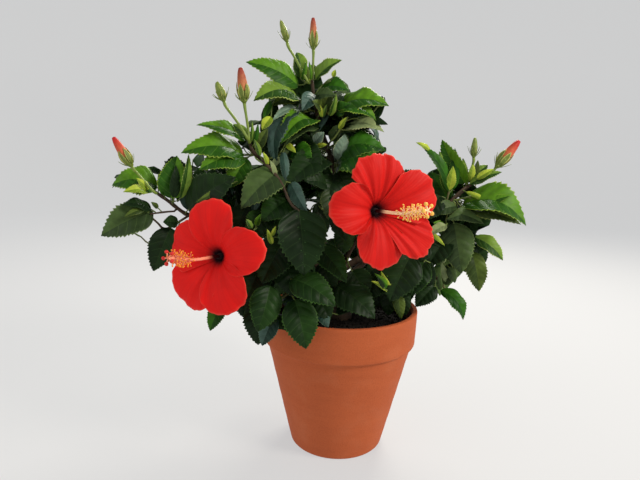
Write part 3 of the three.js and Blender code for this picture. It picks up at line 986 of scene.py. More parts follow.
# %% Shown shoots
SHOWN_SHOOTS = {
    # bough: (pixels, depths)
    "bough_top": ([(315, 103), (313, 90), (312, 80)], [2, 0, 0]),
    "bough_upper_left": ([(255, 154), (249, 142), (246, 134)], [-36, -42, -46]),
    "bough_left": ([(186, 214), (167, 200), (153, 190.5)], [-46, -56, -62]),
    "bough_right": ([(452, 200), (470, 185), (486, 174)], [0, 0, 0]),
}
for bough, (pixels, depths) in SHOWN_SHOOTS.items():
    path, radii = LIMBS[bough]
    twigs.shoot([path[-3], *map(seen, pixels, depths)], max(radii[-1], 2.1), 1.8, BROWN_TWIG)
SHOWN_TWIGS = [
    # (pixels, depths, both radii in mm, paint): side twigs that run in front of the leaves
    ([(265, 163), (279.5, 180), (290.5, 203), (299, 211)], [-50, -64, -84, -97], 2.0, 1.3, BROWN_TWIG),
    ([(166, 229), (160, 225), (150, 216)], [-56, -58, -62], 1.5, 1.1, BROWN_TWIG),
    ([(176, 211), (165, 212), (150, 214)], [-54, -57, -62], 1.2, 1.0, BROWN_TWIG),
    ([(330, 142), (335, 137), (348, 117)], [-10, -12, -18], 1.3, 1.0, YOUNG_TWIG),
    ([(447, 205), (457, 194), (466, 187)], [-8, -8, -4], 1.8, 1.4, BROWN_TWIG),
    ([(447, 200), (449, 192)], [-6, -8], 1.5, 1.2, GREEN_TWIG),
    ([(455, 200), (464, 198), (474, 196)], [-6, -8, -12], 1.2, 1.0, YOUNG_TWIG),
]
for pixels, depths, thick, thin, paint_number in SHOWN_TWIGS:
    places = list(map(seen, pixels, depths))
    root = twigs.points[twigs.start(places[0])]
    twigs.shoot([root, *places], thick, thin, paint_number)
print(len(SHOWN_SHOOTS), "long shoots and", len(SHOWN_TWIGS), "side twigs in view")

# %% Shown leaves: top of the crown
LEAF_ROWS = {}
LEAF_ROWS["foliage_top"] = [
    ((298, 85.5), (246, 62), (0, -30), 33, 40, "bright", 0.13, 6),
    ((297, 98), (253.5, 101), (-5, -45), 38, 50, "lit", 0.23),
    ((300, 78), (295, 55), (0, 2), 15, 30, "lit"),
    ((316, 79), (342, 60), (0, -14), 22, 46, "lit", 0.12, 20),
    ((320, 93), (348.5, 91), (6, -12), 32, 54, "green", 0.24),
    ((313, 94), (302, 111), (-8, -34), 20, 6, "shade"),
    ((297, 99), (270, 106), (4, -20), 20, 40, "olive", 0.14),
    ((271, 101), (264, 121), (-24, -34), 9, 16, "green"),
    ((303, 112), (272, 121), (0, -36), 16, 50, "mist", 0.2),
    ((297, 112), (277, 165), (-14, -40), 38, 50, "shade", 0.28),
    ((330, 116), (336, 93), (-14, -26), 8, 30, "lit"),
    ((279, 121), (270, 148), (-10, -28), 22, 10, "dark"),
    ((271, 117), (262, 130), (-34, -42), 12, 20, "young"),
    ((322, 111), (332, 90), (-8, -20), 19, 10, "olive"),
    ((333, 77), (335.5, 69.5), (-14, -16), 6, 10, "young"),
    ((302, 70), (297, 52), (0, 4), 17, 16, "lit"),
    ((311, 80), (309, 61), (-2, -4), 5, 20, "bright", 0.05),
    ((314, 122), (281, 143.5), (-8, -52), 38, 42, "bright", 0.24),
    ((281, 122), (269, 154), (-20, -40), 16, 8, "shade", 0.12),
    ((316, 97), (336, 96), (-6, -30), 18, 40, "grey", 0.14),
    ((310, 81), (304.5, 61), (-2, -6), 5, 30, "young", 0.05),
    ((308, 80), (305, 62), (-4, -8), 7, 10, "olive", 0.05),
    ((322, 117), (319, 104), (-14, -20), 6, 10, "young", 0.08),
    ((323, 117), (327, 104), (-14, -20), 5, 10, "lit", 0.08),
]
LEAF_ROWS["foliage_upper_right"] = [
    ((337, 109), (389, 106), (4, -18), 40, 52, "bright", 0.2),
    ((340, 112), (376, 120.5), (-6, -26), 28, 62, "bright", 0.24),
    ((336, 112), (350, 104), (-8, -20), 18, 20, "green", 0.12),
    ((344, 131), (384, 132), (2, -22), 26, 58, "pale", 0.24),
    ((366, 121), (388, 124.5), (-10, -20), 12, 30, "dark", 0.12),
    ((338, 160), (345, 134), (-12, -14), 20, 12, "mist", 0.12),
    ((331, 141), (341, 124), (-4, -8), 15, 20, "grey", 0.12),
    ((315, 143), (324, 132), (-18, -22), 14, 20, "mist"),
    ((317, 146), (327, 144.5), (-22, -26), 6, 10, "young"),
    ((339, 129), (347, 117), (-14, -22), 7, 20, "young"),
    ((303, 80), (306, 62), (-4, -10), 6, 10, "bright"),
    ((322, 108), (312, 101), (-12, -28), 14, 30, "olive", 0.12),
]
LEAF_ROWS["foliage_upper_left"] = [
    ((246, 140), (196.5, 125), (-40, -64), 25, 52, "bright", 0.13),
    ((243, 154), (181, 153), (-36, -72), 36, 38, "bright", 0.2, 12),
    ((243, 158), (199, 170), (-42, -74), 32, 30, "bright", 0.2),
    ((246, 158), (229, 188), (-34, -46), 28, 4, "bright"),
    ((247, 137), (233, 124), (-44, -48), 14, 20, "lit"),
    ((251, 142), (252, 121), (-46, -50), 5, 20, "lit"),
    ((254, 144), (258, 123), (-44, -48), 6, 20, "green"),
    ((260, 156), (254, 139), (-46, -50), 7, 20, "lit"),
    ((256, 150), (268, 128), (-38, -40), 13, 10, "olive"),
    ((268, 165), (263, 152), (-52, -56), 6, 20, "young"),
    ((276, 176), (270, 160), (-58, -62), 6, 20, "pale"),
]

# %% Shown leaves: left side
LEAF_ROWS["foliage_left"] = [
    ((171, 198), (177, 155.5), (-58, -60), 34, -6, "bright", 0.10, 18),
    ((174, 198), (176, 165), (-66, -66), 12, 10, "dark", 0.06, 8),
    ((181, 198), (188.5, 154), (-62, -66), 12, 24, "lit", 0.12, 20),
    ((164, 195), (158, 174), (-62, -66), 10, 20, "bright"),
    ((157, 186), (112, 185.5), (-50, -64), 40, 36, "bright", 0.26),
    ((149, 191.5), (123, 192), (-64, -84), 12, 30, "young", 0.2),
    ((149, 190.5), (136, 178), (-66, -78), 10, 20, "young", 0.14),
    ((152, 211), (101, 236), (-56, -80), 40, 18, "grey", 0.12),
    ((151, 209), (123, 205), (-60, -78), 20, 50, "dark", 0.2),
    ((145, 209), (124, 217.5), (-70, -86), 9, 30, "olive", 0.12),
    ((158, 208), (151, 202), (-58, -64), 6, 20, "olive"),
    ((178, 182), (172, 156), (-34, -30), 32, 0, "dark"),
    ((190, 211), (198, 173), (-52, -44), 30, -6, "shade"),
    ((178, 222), (163, 222), (-56, -64), 16, 16, "mid"),
]
LEAF_ROWS["foliage_left_low"] = [
    ((171, 228), (153, 271), (-54, -64), 32, 6, "dark", 0.12),
    ((176, 232), (168, 262), (-36, -30), 34, 0, "mid"),
]
LEAF_ROWS["foliage_left_inner"] = [
    ((189, 209), (236, 177), (-58, -76), 46, 22, "dark", 0.16),
    ((226, 178), (196, 198), (-46, -60), 36, 24, "dark", 0.12),
    ((214, 178), (190, 184), (-40, -56), 30, 36, "mid", 0.14),
    ((231, 184), (195, 203), (-68, -86), 8, 10, "olive", 0.06),
]

# %% Shown leaves: middle
LEAF_ROWS["foliage_centre"] = [
    ((281, 171), (241, 209), (-48, -84), 42, 22, "grey", 0.14),
    ((291, 183), (308, 214), (-62, -94), 18, -12, "shade"),
    ((299, 210), (304, 276), (-96, -118), 54, 12, "dark", 0.08, 8),
    ((326, 160), (286, 188), (-12, -62), 40, 30, "dark", 0.2),
    ((300, 150), (322, 166), (-20, -46), 30, 20, "dark", 0.12),
    ((272, 244), (267, 229), (-110, -116), 6, 6, "young", 0.08),
    ((272, 236), (276, 226), (-112, -114), 4.5, 6, "young", 0.08),
    ((256, 226), (261, 214), (-86, -90), 7, 20, "bright", 0.08),
    ((252, 228), (246, 219), (-88, -92), 7, 20, "lit", 0.08),
    ((247, 204), (236, 232), (-54, -62), 26, 10, "dark", 0.12),
    ((326, 184), (304, 181), (-40, -66), 22, 30, "dark", 0.12),
    ((268, 214), (248, 238), (-66, -78), 34, 10, "mid"),
    ((288, 200), (262, 222), (-60, -82), 36, 24, "mid", 0.14),
]
LEAF_ROWS["foliage_front_right"] = [
    ((346, 225), (341, 256), (-50, -56), 26, 10, "mid"),
    ((317, 203), (328, 231), (-50, -54), 21, 10, "dark"),
    ((364, 232), (359, 258), (-50, -56), 15, 10, "dark"),
]
LEAF_ROWS["foliage_upper_middle"] = [
    ((283, 152), (287, 188), (-44, -60), 11, 6, "shade"),
    ((279, 157), (272, 169), (-40, -46), 8, 10, "pale"),
    ((316, 129), (285, 146), (-4, -46), 24, 46, "grey", 0.2),
    ((286, 144), (296, 153), (-30, -40), 8, 20, "young"),
    ((292, 150), (312, 158), (-18, -42), 30, 28, "green", 0.14),
    ((286, 146), (270, 132), (-20, -34), 24, 20, "mid"),
]
LEAF_ROWS["foliage_middle"] = [
    ((340, 160), (386, 151), (2, -26), 48, 46, "green", 0.34),
    ((338, 168), (384, 166), (-8, -40), 46, 44, "green", 0.3),
    ((338, 172), (352, 198), (-20, -34), 32, 10, "dark", 0.12),
    ((334, 176), (322, 206), (-22, -52), 34, -4, "dark"),
    ((332, 190), (330, 222), (-40, -56), 28, 8, "grey"),
]
LEAF_ROWS["foliage_front_left"] = [
    ((262, 262), (246, 302), (-84, -98), 38, 6, "dark", 0.12),
    ((284, 240), (262, 284), (-86, -104), 44, 12, "dark", 0.12),
    ((222, 300), (210, 331), (-84, -96), 20, 8, "green", 0.12),
    ((216, 296), (222, 318), (-80, -84), 22, 8, "dark"),
]

# %% Shown leaves: front, over the rim
LEAF_ROWS["foliage_low_front"] = [
    ((292, 279), (335.5, 306.5), (-104, -126), 37, 26, "mid", 0.16),
    ((270, 286), (257.5, 332), (-106, -124), 36, 10, "mid", 0.12),
    ((295, 300), (306, 349), (-108, -124), 39, 8, "mid", 0.12),
    ((262, 300), (258, 345), (-94, -104), 38, -4, "dark"),
    ((274, 316), (262, 346), (-98, -108), 22, 8, "shade"),
    ((286, 262), (296, 298), (-84, -98), 38, 8, "dark"),
    ((246, 290), (244, 318), (-88, -92), 28, 0, "dark"),
]
LEAF_ROWS["foliage_centre_low"] = [
    ((318, 247), (346.5, 283), (-72, -100), 30, 20, "mid", 0.14),
    ((334, 214), (346, 241), (-66, -84), 22, 14, "dark", 0.12),
    ((336, 286), (375, 319), (-58, -86), 43, 24, "dark", 0.14),
    ((320, 309), (328, 328), (-80, -92), 15, 6, "shade"),
    ((352, 271), (368, 298), (-48, -66), 32, 12, "dark", 0.12),
    ((316, 292), (330, 320), (-70, -88), 30, 0, "dark"),
    ((322, 262), (333, 294), (-50, -56), 28, 0, "dark"),
]
LEAF_ROWS["foliage_front_low_right"] = [
    ((410, 256), (390, 302), (-56, -80), 48, 8, "dark", 0.12),
    ((390, 291), (374, 273), (-66, -84), 9, 20, "bright", 0.16),
    ((391, 292), (381, 271), (-70, -80), 8, -10, "young"),
    ((389, 292), (371, 281), (-72, -84), 8, 30, "young", 0.12),
    ((392, 290), (386.5, 275), (-66, -74), 6, 10, "bright"),
    ((384, 288), (377, 277), (-84, -88), 5, 10, "dark"),
    ((392, 256), (366, 275), (-44, -50), 30, 10, "dark"),
    ((429, 245), (411, 261), (-40, -44), 24, 10, "dark"),
    ((424, 286), (432, 262), (-34, -38), 20, 10, "dark"),
    ((416, 278), (403, 298), (-40, -46), 22, 10, "mid"),
    ((398, 276), (386, 307), (-18, -24), 28, 8, "dark"),
    ((384, 280), (372, 309), (-14, -20), 28, -6, "dark"),
    ((390, 288), (388, 316), (-24, -28), 22, 0, "dark"),
    ((412, 280), (401, 308), (-14, -18), 22, 10, "mid"),
    ((397, 292), (401, 319), (-40, -46), 15, 10, "olive"),
    ((404, 290), (405, 316), (-30, -34), 16, 10, "dark"),
    ((423, 262), (418, 284), (-40, -48), 14, 10, "olive"),
    ((380, 272), (362, 300), (-46, -60), 38, 6, "dark"),
    ((424, 262), (412, 296), (-48, -60), 30, 10, "mid"),
]

# %% Shown leaves: right side
LEAF_ROWS["foliage_right_inner"] = [
    ((398, 190), (426, 174), (-34, -30), 30, 20, "dark", 0.14),
    ((446, 238), (427, 268), (-16, -34), 34, 8, "dark", 0.12),
    ((440, 196), (420, 222), (-8, -24), 32, 12, "dark", 0.12),
]
LEAF_ROWS["foliage_right"] = [
    ((449, 192), (421, 145), (-4, -10), 19, 44, "green", 0.15, 20),
    ((430, 150), (416, 142.5), (-12, -16), 7, 30, "young", 0.12),
    ((465, 183), (442, 139.5), (2, 8), 27, -14, "bright", 0.14, 20),
    ((452, 190), (455, 148), (-2, 2), 15, 16, "green", 0.1, 12),
    ((448, 191), (441, 164), (-6, -8), 15, 20, "bright", 0.08),
    ((444, 172), (439, 151), (0, 2), 7, 20, "lit", 0.08),
    ((463, 184), (463, 158), (4, 8), 12, 10, "lit", 0.08),
    ((449, 190), (453, 166), (-8, -12), 12, 20, "young", 0.06),
    ((470, 184), (502, 172), (-2, -14), 15, 34, "lit"),
    ((470, 181), (473, 163), (0, 2), 9, 20, "young"),
    ((468, 182), (488, 165), (2, 6), 18, 20, "lit"),
    ((477, 179), (494, 169), (-8, -12), 9, 20, "young"),
    ((463, 204), (526, 225.5), (-2, -34), 52, 44, "bright", 0.3),
    ((466, 192), (494, 204.5), (-10, -22), 7, 20, "young"),
    ((489, 203), (510, 196), (-28, -34), 12, 30, "bright"),
    ((464, 209), (521, 224.5), (-14, -46), 22, 38, "olive", 0.12),
    ((450, 212), (484, 224), (-18, -38), 18, 30, "grey", 0.12),
    ((480, 212), (446, 220), (-12, -30), 20, 20, "grey", 0.14),
    ((454, 223), (461.5, 273.5), (-16, -30), 42, 4, "grey", 0.1, 8),
    ((448, 200), (430, 172), (4, 8), 24, 10, "green"),
    ((456, 206), (432, 214), (-8, -22), 20, 20, "grey", 0.12),
    ((446, 225), (429, 236), (-34, -42), 14, 30, "pale", 0.12),
    ((428, 230), (445, 246), (-26, -30), 6, 10, "young"),
    ((444, 225), (433, 223), (-20, -26), 9, 20, "bright"),
    ((474, 180), (478, 160), (2, 4), 9, 10, "olive", 0.06),
]
LEAF_ROWS["foliage_right_low"] = [
    ((475, 237), (503, 260.5), (0, -8), 23, 34, "lit", 0.16),
    ((472, 252), (479, 291.5), (-6, -14), 27, 12, "olive", 0.12),
    ((449, 267), (455, 283), (-22, -26), 13, 14, "grey"),
    ((440, 262), (447, 254), (-24, -32), 10, 20, "pale"),
    ((452, 250), (446, 276), (0, 0), 26, -10, "dark"),
    ((466, 236), (486, 262), (14, 14), 30, 8, "mid"),
]
LEAF_ROWS["foliage_right_tip"] = [
    ((441, 290), (463, 320), (-20, -32), 23, 34, "green", 0.3, 20),
    ((434, 286), (415.5, 307), (-22, -34), 27, 10, "dark", 0.12),
    ((440, 290), (439, 272), (-20, -24), 7, 10, "grey", 0.05),
    ((447, 282), (441, 262), (-16, -20), 9, 10, "pale", 0.05),
    ((444, 284), (452, 270), (-14, -18), 14, 10, "grey"),
]

# %% Bending the shown leaves
def shown_leaf(foot_pixel, tip_pixel, depths, width, turn, tint, arch=0.1, fold=12):
    foot, tip = seen(foot_pixel, depths[0]), seen(tip_pixel, depths[1])
    facing = facing_turned(foot, tip, turn)
    return bent(foot, tip, facing, width, arch, fold, rng.uniform(-10, 10), FINE) | {"tint": tint}


SHOWN_LEAVES = {node: [shown_leaf(*row) for row in rows] for node, rows in LEAF_ROWS.items()}
print(sum(map(len, SHOWN_LEAVES.values())), "leaves in view")

# %% [markdown]
# ## Leaves that the photograph hides
#
# The sides, the back and the inside of the crown are filled from the frame's own masses. Chance
# picks places all over a mass's skin; a leaf ends a little inside each, sets off from within, hangs
# slightly and turns its upper side outwards and up, as leaves do. Leaves that would stand in front
# of an open bloom, or in a gap where the photograph shows sky, are left out. Behind the shown leaves
# the crown gets leaves deeper in, whose dark and blue-green paints are painted shade.

# %% What the shown leaves cover
CELL = 4
CLEARANCE = 2.0
DEEPEST_PUSH = 40.0
PUSH_ROUNDS = 2
BLOOMS = {
    "left": {"throat": np.array([-140.5, -105, 264]), "out": unit(np.array([-42, -91, 10]))},
    "right": {"throat": np.array([32.0, -105, 318]), "out": unit(np.array([36, -93, 10]))},
}
BLOOM_PIXELS, BLOOM_RADIUS, BLOOM_BACK, BLOOM_FRONT = 40, 72, -16, 110
DARK_INSIDE = [
    # (pixel's x and y, radius in pixels) of the crown's dark inside, where leaves show that can't be
    # told apart
    (305, 215, 58), (352, 292, 30), (395, 285, 24), (428, 240, 22), (234, 204, 14), (262, 292, 22),
    (298, 140, 22),
]
OPEN_SKY = [
    # (pixel's x and y, radius in pixels) of gaps in the crown
    (205, 190, 7), (157, 205, 10), (296, 148, 6), (330, 142, 5), (347, 264, 6), (324, 235, 4),
    (326, 190, 4), (283, 62, 6), (257, 105, 8), (252, 157, 8), (148, 240, 9), (157, 227, 6),
    (232, 120, 9), (430, 235, 5), (249, 160, 4), (208, 158, 5), (412, 166, 6), (492, 231, 9),
    (473, 229, 4), (488, 266, 8), (458, 282, 6), (441, 302, 5), (329, 58, 6), (350, 76, 5),
    (388, 138, 8),
]


def pixel_of(places):
    """Where the camera sees some places."""
    x, y, z = ((np.atleast_2d(places) - EYE) @ SIGHT).T
    across = PHOTO_WIDTH / 2 - FOCAL_PIXELS * x / z
    return np.stack([across, PHOTO_HEIGHT / 2 + FOCAL_PIXELS * y / z], axis=1)


class Outline:
    """The part of the picture that the shown leaves and blooms cover, in square cells."""

    def __init__(self):
        self.cells = np.zeros((PHOTO_HEIGHT // CELL, PHOTO_WIDTH // CELL), bool)
        self.nearest = np.full(self.cells.shape, np.inf)
        rows, columns = np.indices(self.cells.shape)
        self.middles = np.stack([columns, rows], axis=2) * CELL + CELL / 2

    def spots(self, points):
        """The row and column of the cell that holds each point, and the point's distance."""
        columns, rows = (pixel_of(points) / CELL).astype(int).T
        rows = np.clip(rows, 0, self.cells.shape[0] - 1)
        columns = np.clip(columns, 0, self.cells.shape[1] - 1)
        return (rows, columns), lengths(points - EYE)

    def cover(self, points):
        spots, distances = self.spots(points)
        self.cells[spots] = True
        np.minimum.at(self.nearest, spots, distances)

    def disc(self, pixel, radius, covered):
        self.cells[np.linalg.norm(self.middles - pixel, axis=2) < radius] = covered

    def close(self):
        """Fills the gaps that are narrower than two cells."""
        for merged in (np.logical_or, np.logical_and):
            near = [np.roll(self.cells, step, axis) for axis in (0, 1) for step in (-1, 1)]
            self.cells = merged.reduce([self.cells, *near])

    def hides(self, points):
        """True if the covered part hides nearly all of some points and none stands before it."""
        spots, distances = self.spots(points)
        before = distances < self.nearest[spots] + CLEARANCE
        before &= np.isfinite(self.nearest[spots])
        return self.cells[spots].mean() > 0.96 and before.mean() < 0.02

    def behind(self, path):
        """The same path, pushed back where it would cross in front of a shown leaf."""
        spots, distances = self.spots(path)
        lack = self.nearest[spots] + CLEARANCE - distances
        lack[(lack < 0) | (lack > DEEPEST_PUSH)] = 0
        lack[[0, -1]] = 0
        for _ in range(PUSH_ROUNDS):
            lack[1:-1] = np.maximum(lack[1:-1], (lack[:-2] + lack[2:]) / 2)
        return path + (path - EYE) / distances[:, None] * lack[:, None]


def before_a_bloom(points):
    """True if any of some points stands in front of an open bloom."""
    for bloom in BLOOMS.values():
        way = points - bloom["throat"]
        height = way @ bloom["out"]
        aside = lengths(way - bloom["out"] * height[:, None])
        if np.any((height > BLOOM_BACK) & (height < BLOOM_FRONT) & (aside < BLOOM_RADIUS)):
            return True
    return False


outline = Outline()
for leaves in SHOWN_LEAVES.values():
    for leaf in leaves:
        outline.cover(leaf["sheet"])
for bloom in BLOOMS.values():
    outline.disc(pixel_of(bloom["throat"])[0], BLOOM_PIXELS, True)
for bough in SHOWN_SHOOTS:
    outline.cover(LIMBS[bough][0])
outline.close()
for discs, covered in ((DARK_INSIDE, True), (OPEN_SKY, False)):
    for x, y, radius in discs:
        outline.disc((x, y), radius, covered)
print(int(outline.cells.sum()), "cells of the picture are covered")

# %% Hidden leaves
HIDDEN_SPACING = 21.0
CAD_LOW, CAD_HIGH = np.array(CAD_BOX) / MM
# how far inside the skin a hidden leaf ends, in mm, and its paints: anywhere on the crown, at the
# sides of shown leaves, and behind them
OUTER_DEPTHS, OUTER_TINTS = (1, 9), ["dark", "mid", "green", "mid", "grey", "bright"]
SIDE_DEPTHS, SIDE_TINTS = (6, 16), ["dark", "mid", "grey"]
# behind the shown leaves: dark and blue-green paints, painted shade deep in the crown
INNER_DEPTHS, INNER_TINTS = (20, 34), ["dark", "dark", "shade"]
FACES_EYE, FACES_SIDE = 0.15, -0.2
LEAF_LENGTHS, LEAF_SHAPES = (40, 70), (0.54, 0.7)
LOWEST_BENDS, HIGHEST_BENDS = [0.06, 6, -25], [0.2, 20, 25]


def skin_places(node, spacing):
    """Chance places on a mass's skin, one for each square of a spacing, with their normals."""
    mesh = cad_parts[node].data
    mesh.calc_loop_triangles()
    triangles = np.array([triangle.vertices for triangle in mesh.loop_triangles])
    a, b, c = (mesh_points(node)[triangles[:, k]] for k in range(3))
    crossed = np.cross(b - a, c - a)
    areas = lengths(crossed) / 2
    count = int(areas.sum() / spacing**2)
    tries = rng.choice(len(areas), count * 6, p=areas / areas.sum())
    share = rng.uniform(size=(len(tries), 2))
    share = np.where(share.sum(axis=1, keepdims=True) > 1, 1 - share, share)
    places = a[tries] + (b - a)[tries] * share[:, :1] + (c - a)[tries] * share[:, 1:]
    kept = []
    for k, place in enumerate(places):
        if len(kept) < count and all(np.linalg.norm(place - places[j]) > spacing * 0.8 for j in kept):
            kept.append(k)
    return places[kept], crossed[tries[kept]] / (2 * areas[tries[kept], None])


def hidden_leaves(node, behind_others):
    """Leaves all over a mass, apart from where the camera already sees shown ones."""
    made = []
    for place, normal in zip(*skin_places(node, HIDDEN_SPACING)):
        towards_eye = float(normal @ unit(EYE - place))
        inside, tints = rng.uniform(*OUTER_DEPTHS), OUTER_TINTS
        if towards_eye > FACES_EYE and behind_others:
            inside, tints = rng.uniform(*INNER_DEPTHS), INNER_TINTS
        elif towards_eye > FACES_SIDE and behind_others:
            inside, tints = rng.uniform(*SIDE_DEPTHS), SIDE_TINTS
        sideways = unit(np.cross(normal, rng.normal(size=3)))
        heading = unit(0.62 * normal + 0.75 * sideways + [0, 0, -0.35])
        length = rng.uniform(*LEAF_LENGTHS)
        tip = place - normal * inside
        foot = tip - heading * length
        if foot[2] < POT_TOP + 4 and np.hypot(*foot[:2]) > POT_RIM - 18:
            continue
        facing = unit(0.5 * normal + [0, 0, 0.85] + 0.3 * rng.normal(size=3))
        width = length * rng.uniform(*LEAF_SHAPES)
        arch, fold, twist = rng.uniform(LOWEST_BENDS, HIGHEST_BENDS)
        leaf = bent(foot, tip, facing, width, arch, fold, twist, PLAIN)
        low, high = leaf["sheet"].min(axis=0), leaf["sheet"].max(axis=0)
        back = np.clip(CAD_HIGH - high, None, 0) + np.clip(CAD_LOW - low, 0, None)
        for part in ("foot", "tip", "sheet"):
            leaf[part] = leaf[part] + back
        if outline.hides(leaf["sheet"]) and not before_a_bloom(leaf["sheet"]):
            made.append(leaf | {"tint": tints[rng.integers(len(tints))]})
    return made


CROWN = {}
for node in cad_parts:
    if node.startswith("foliage_"):
        in_view = SHOWN_LEAVES.get(node, [])
        CROWN[node] = in_view + hidden_leaves(node, bool(in_view))
print(sum(len(leaves) - len(SHOWN_LEAVES.get(node, [])) for node, leaves in CROWN.items()), "hidden leaves")

# %% [markdown]
# Each mass also gets a main shoot, from the end of its bough to its middle, before its leaves are
# hung. A mass without a bough of its own is reached by the branching rule.

# %% Growing the crown
MIDDLES = [np.mean(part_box(node), axis=0) / MM for node in CROWN]
for bough, (path, radii) in LIMBS.items():
    if bough == "trunk" or bough in SHOWN_SHOOTS:
        continue
    end = path[-1]
    middle = min(MIDDLES, key=lambda place: np.linalg.norm(place - end))
    heading = unit(end - path[-4])
    if not before_a_bloom(np.linspace(end, middle, 8)):
        places = [path[-2], end + heading * 8, (end + middle) / 2 + heading * 4, middle]
        twigs.shoot(places, radii[-1], 1.4, GREEN_TWIG)

twigs.route = outline.behind
every_leaf = [leaf for leaves in CROWN.values() for leaf in leaves]
every_leaf.sort(key=lambda leaf: lengths(twigs.points - leaf["foot"]).min())
for leaf in every_leaf:
    twigs.hang(leaf["foot"], leaf["tip"] - leaf["foot"], STALK if leaf["width"] > 20 else SHORT_STALK)
for node, leaves in CROWN.items():
    heap = Heap()
    for leaf in leaves:
        add_leaf(heap, leaf)
    heap.piece(node.replace("foliage", "leaves"), LEAF_FINISHES, "foliage", node)
print(len(every_leaf), "leaves")

# %% [markdown]
# ## Open blooms
#
# A hibiscus bloom is a shallow funnel of five broad petals, each lapping over the next, with a long
# column from its throat that carries the stamens and, past them, five stigmas. A petal here is a
# grid whose lines run like its veins: they start together at the narrow claw and fan out to a round
# rim. Folds, ruffles and the funnel are heights on that grid. The throat and the tips come from the
# photograph, so each petal gets its own direction and length.

# %% One petal
PETAL_ROWS, PETAL_COLUMNS = 36, 97
PETAL_MIDDLE = 0.57
PETAL_THICKNESS = 0.4
CLAW = 3.0
VEINS = 6.5
VEIN_STRENGTHS = 15


def ridge(turns, sharpness):
    """Narrow ridges, one at each whole turn."""
    return (0.5 + 0.5 * np.cos(2 * math.pi * turns)) ** sharpness


def petal(heap, throat, out, direction, length, width, lift, rim_sweep, ruffles):
    """One petal: out is the way the bloom faces, direction the way the petal spreads."""
    side = np.cross(out, direction)
    v = np.linspace(0.03, 1, PETAL_ROWS)[:, None]
    s = np.linspace(-1, 1, PETAL_COLUMNS)[None, :]
    chance = rng.uniform(0, 2 * math.pi, 6)
    # the outline, with a crimped and toothed rim
    crimp = 0.016 * np.sin(6 * s + chance[0]) + 0.012 * ruffles * np.sin(15 * s + chance[1])
    teeth = (0.004 + 0.005 * ruffles) * np.sin(33 * s + chance[2])
    teeth = teeth + 0.003 * ruffles * np.sin(57 * s + chance[3])
    crimp = 1 + (crimp + teeth) * v**6
    sweep = s * math.radians(rim_sweep)
    reach = v * length * (PETAL_MIDDLE + (1 - PETAL_MIDDLE) * np.cos(sweep)) * crimp
    spread = s * CLAW * (1 - v) + v * width / 2 * np.sin(sweep) * crimp
    away = np.hypot(reach, spread)
    # the heights: funnel, long folds, ruffled rim and cupped middle
    u = away / length
    bowl_height = 29 * (1 - np.exp(-u / 0.3)) - 14 - 5 * u**6
    folds = np.sin(9 * s + chance[3]) + 0.6 * np.sin(17 * s + chance[4])
    fold_height = 0.95 * ruffles * folds * np.sin(math.pi * held(v * 0.85))
    waves = 2.0 * np.sin(4.2 * s + chance[5]) + 1.1 * np.sin(10 * s + chance[1])
    waves = waves + 0.5 * np.sin(23 * s + chance[2])
    ruffle = v**5 * waves * (0.4 + 0.6 * ruffles)
    cup = -2.4 * (1 - s**2) * v + lift * v**0.5
    height = bowl_height + fold_height + ruffle + cup
    sheet = throat + direction * reach[..., None] + side * spread[..., None] + out * height[..., None]
    lower = sheet - out * PETAL_THICKNESS
    # the marks for the paint: the throat with painted shade, the veins with painted shade in
    # the folds, and the rim with a painted sheen
    # the throat mark: the maroon eye, with painted shade that makes its middle near black
    dark = held(1 - (away - 6.5) / 8) ** 1.4
    bent_veins = VEINS * (s + 0.03 * np.sin(5 * v + chance[0]))
    veins = ridge(bent_veins, 5) * 0.5 + ridge(bent_veins * 2, 4) * 0.35 * held(v * 2.5 - 0.8)
    strength = np.interp(s, np.linspace(-1, 1, VEIN_STRENGTHS), rng.uniform(0, 1, VEIN_STRENGTHS))
    veins = veins * (0.2 + 0.8 * strength) * (0.55 + 0.45 * ruffles)
    # darker veins, with painted shade near the throat and in the troughs of the folds
    veins_and_fold_shade = veins * (1 - 0.5 * v**3) + 0.4 * held(1 - away / 24)
    veins_and_fold_shade = veins_and_fold_shade + 0.22 * held(-folds) * ruffles
    between_veins = 0.5 * ridge(bent_veins * 2 + 0.5, 6) * held(v * 2 - 0.7)
    veins_and_fold_shade = veins_and_fold_shade - between_veins * (1 - strength) * ruffles**2
    # the rim mark, for a painted sheen at the thin edge
    rim = held(np.maximum((v - 0.965) / 0.035, (np.abs(s) - 0.97) / 0.03))
    marks = np.stack([np.broadcast_to(m, reach.shape).ravel() for m in (dark, veins_and_fold_shade, rim)], axis=1)
    top = grid_faces(PETAL_ROWS, PETAL_COLUMNS, False)
    below = top + PETAL_ROWS * PETAL_COLUMNS
    edges = sheet_edges(PETAL_ROWS, PETAL_COLUMNS)[:, ::-1]
    points = np.vstack([sheet.reshape(-1, 3), lower.reshape(-1, 3)])
    heap.add(points, np.vstack([top[:, ::-1], below, edges]), marks=np.vstack([marks, marks]))


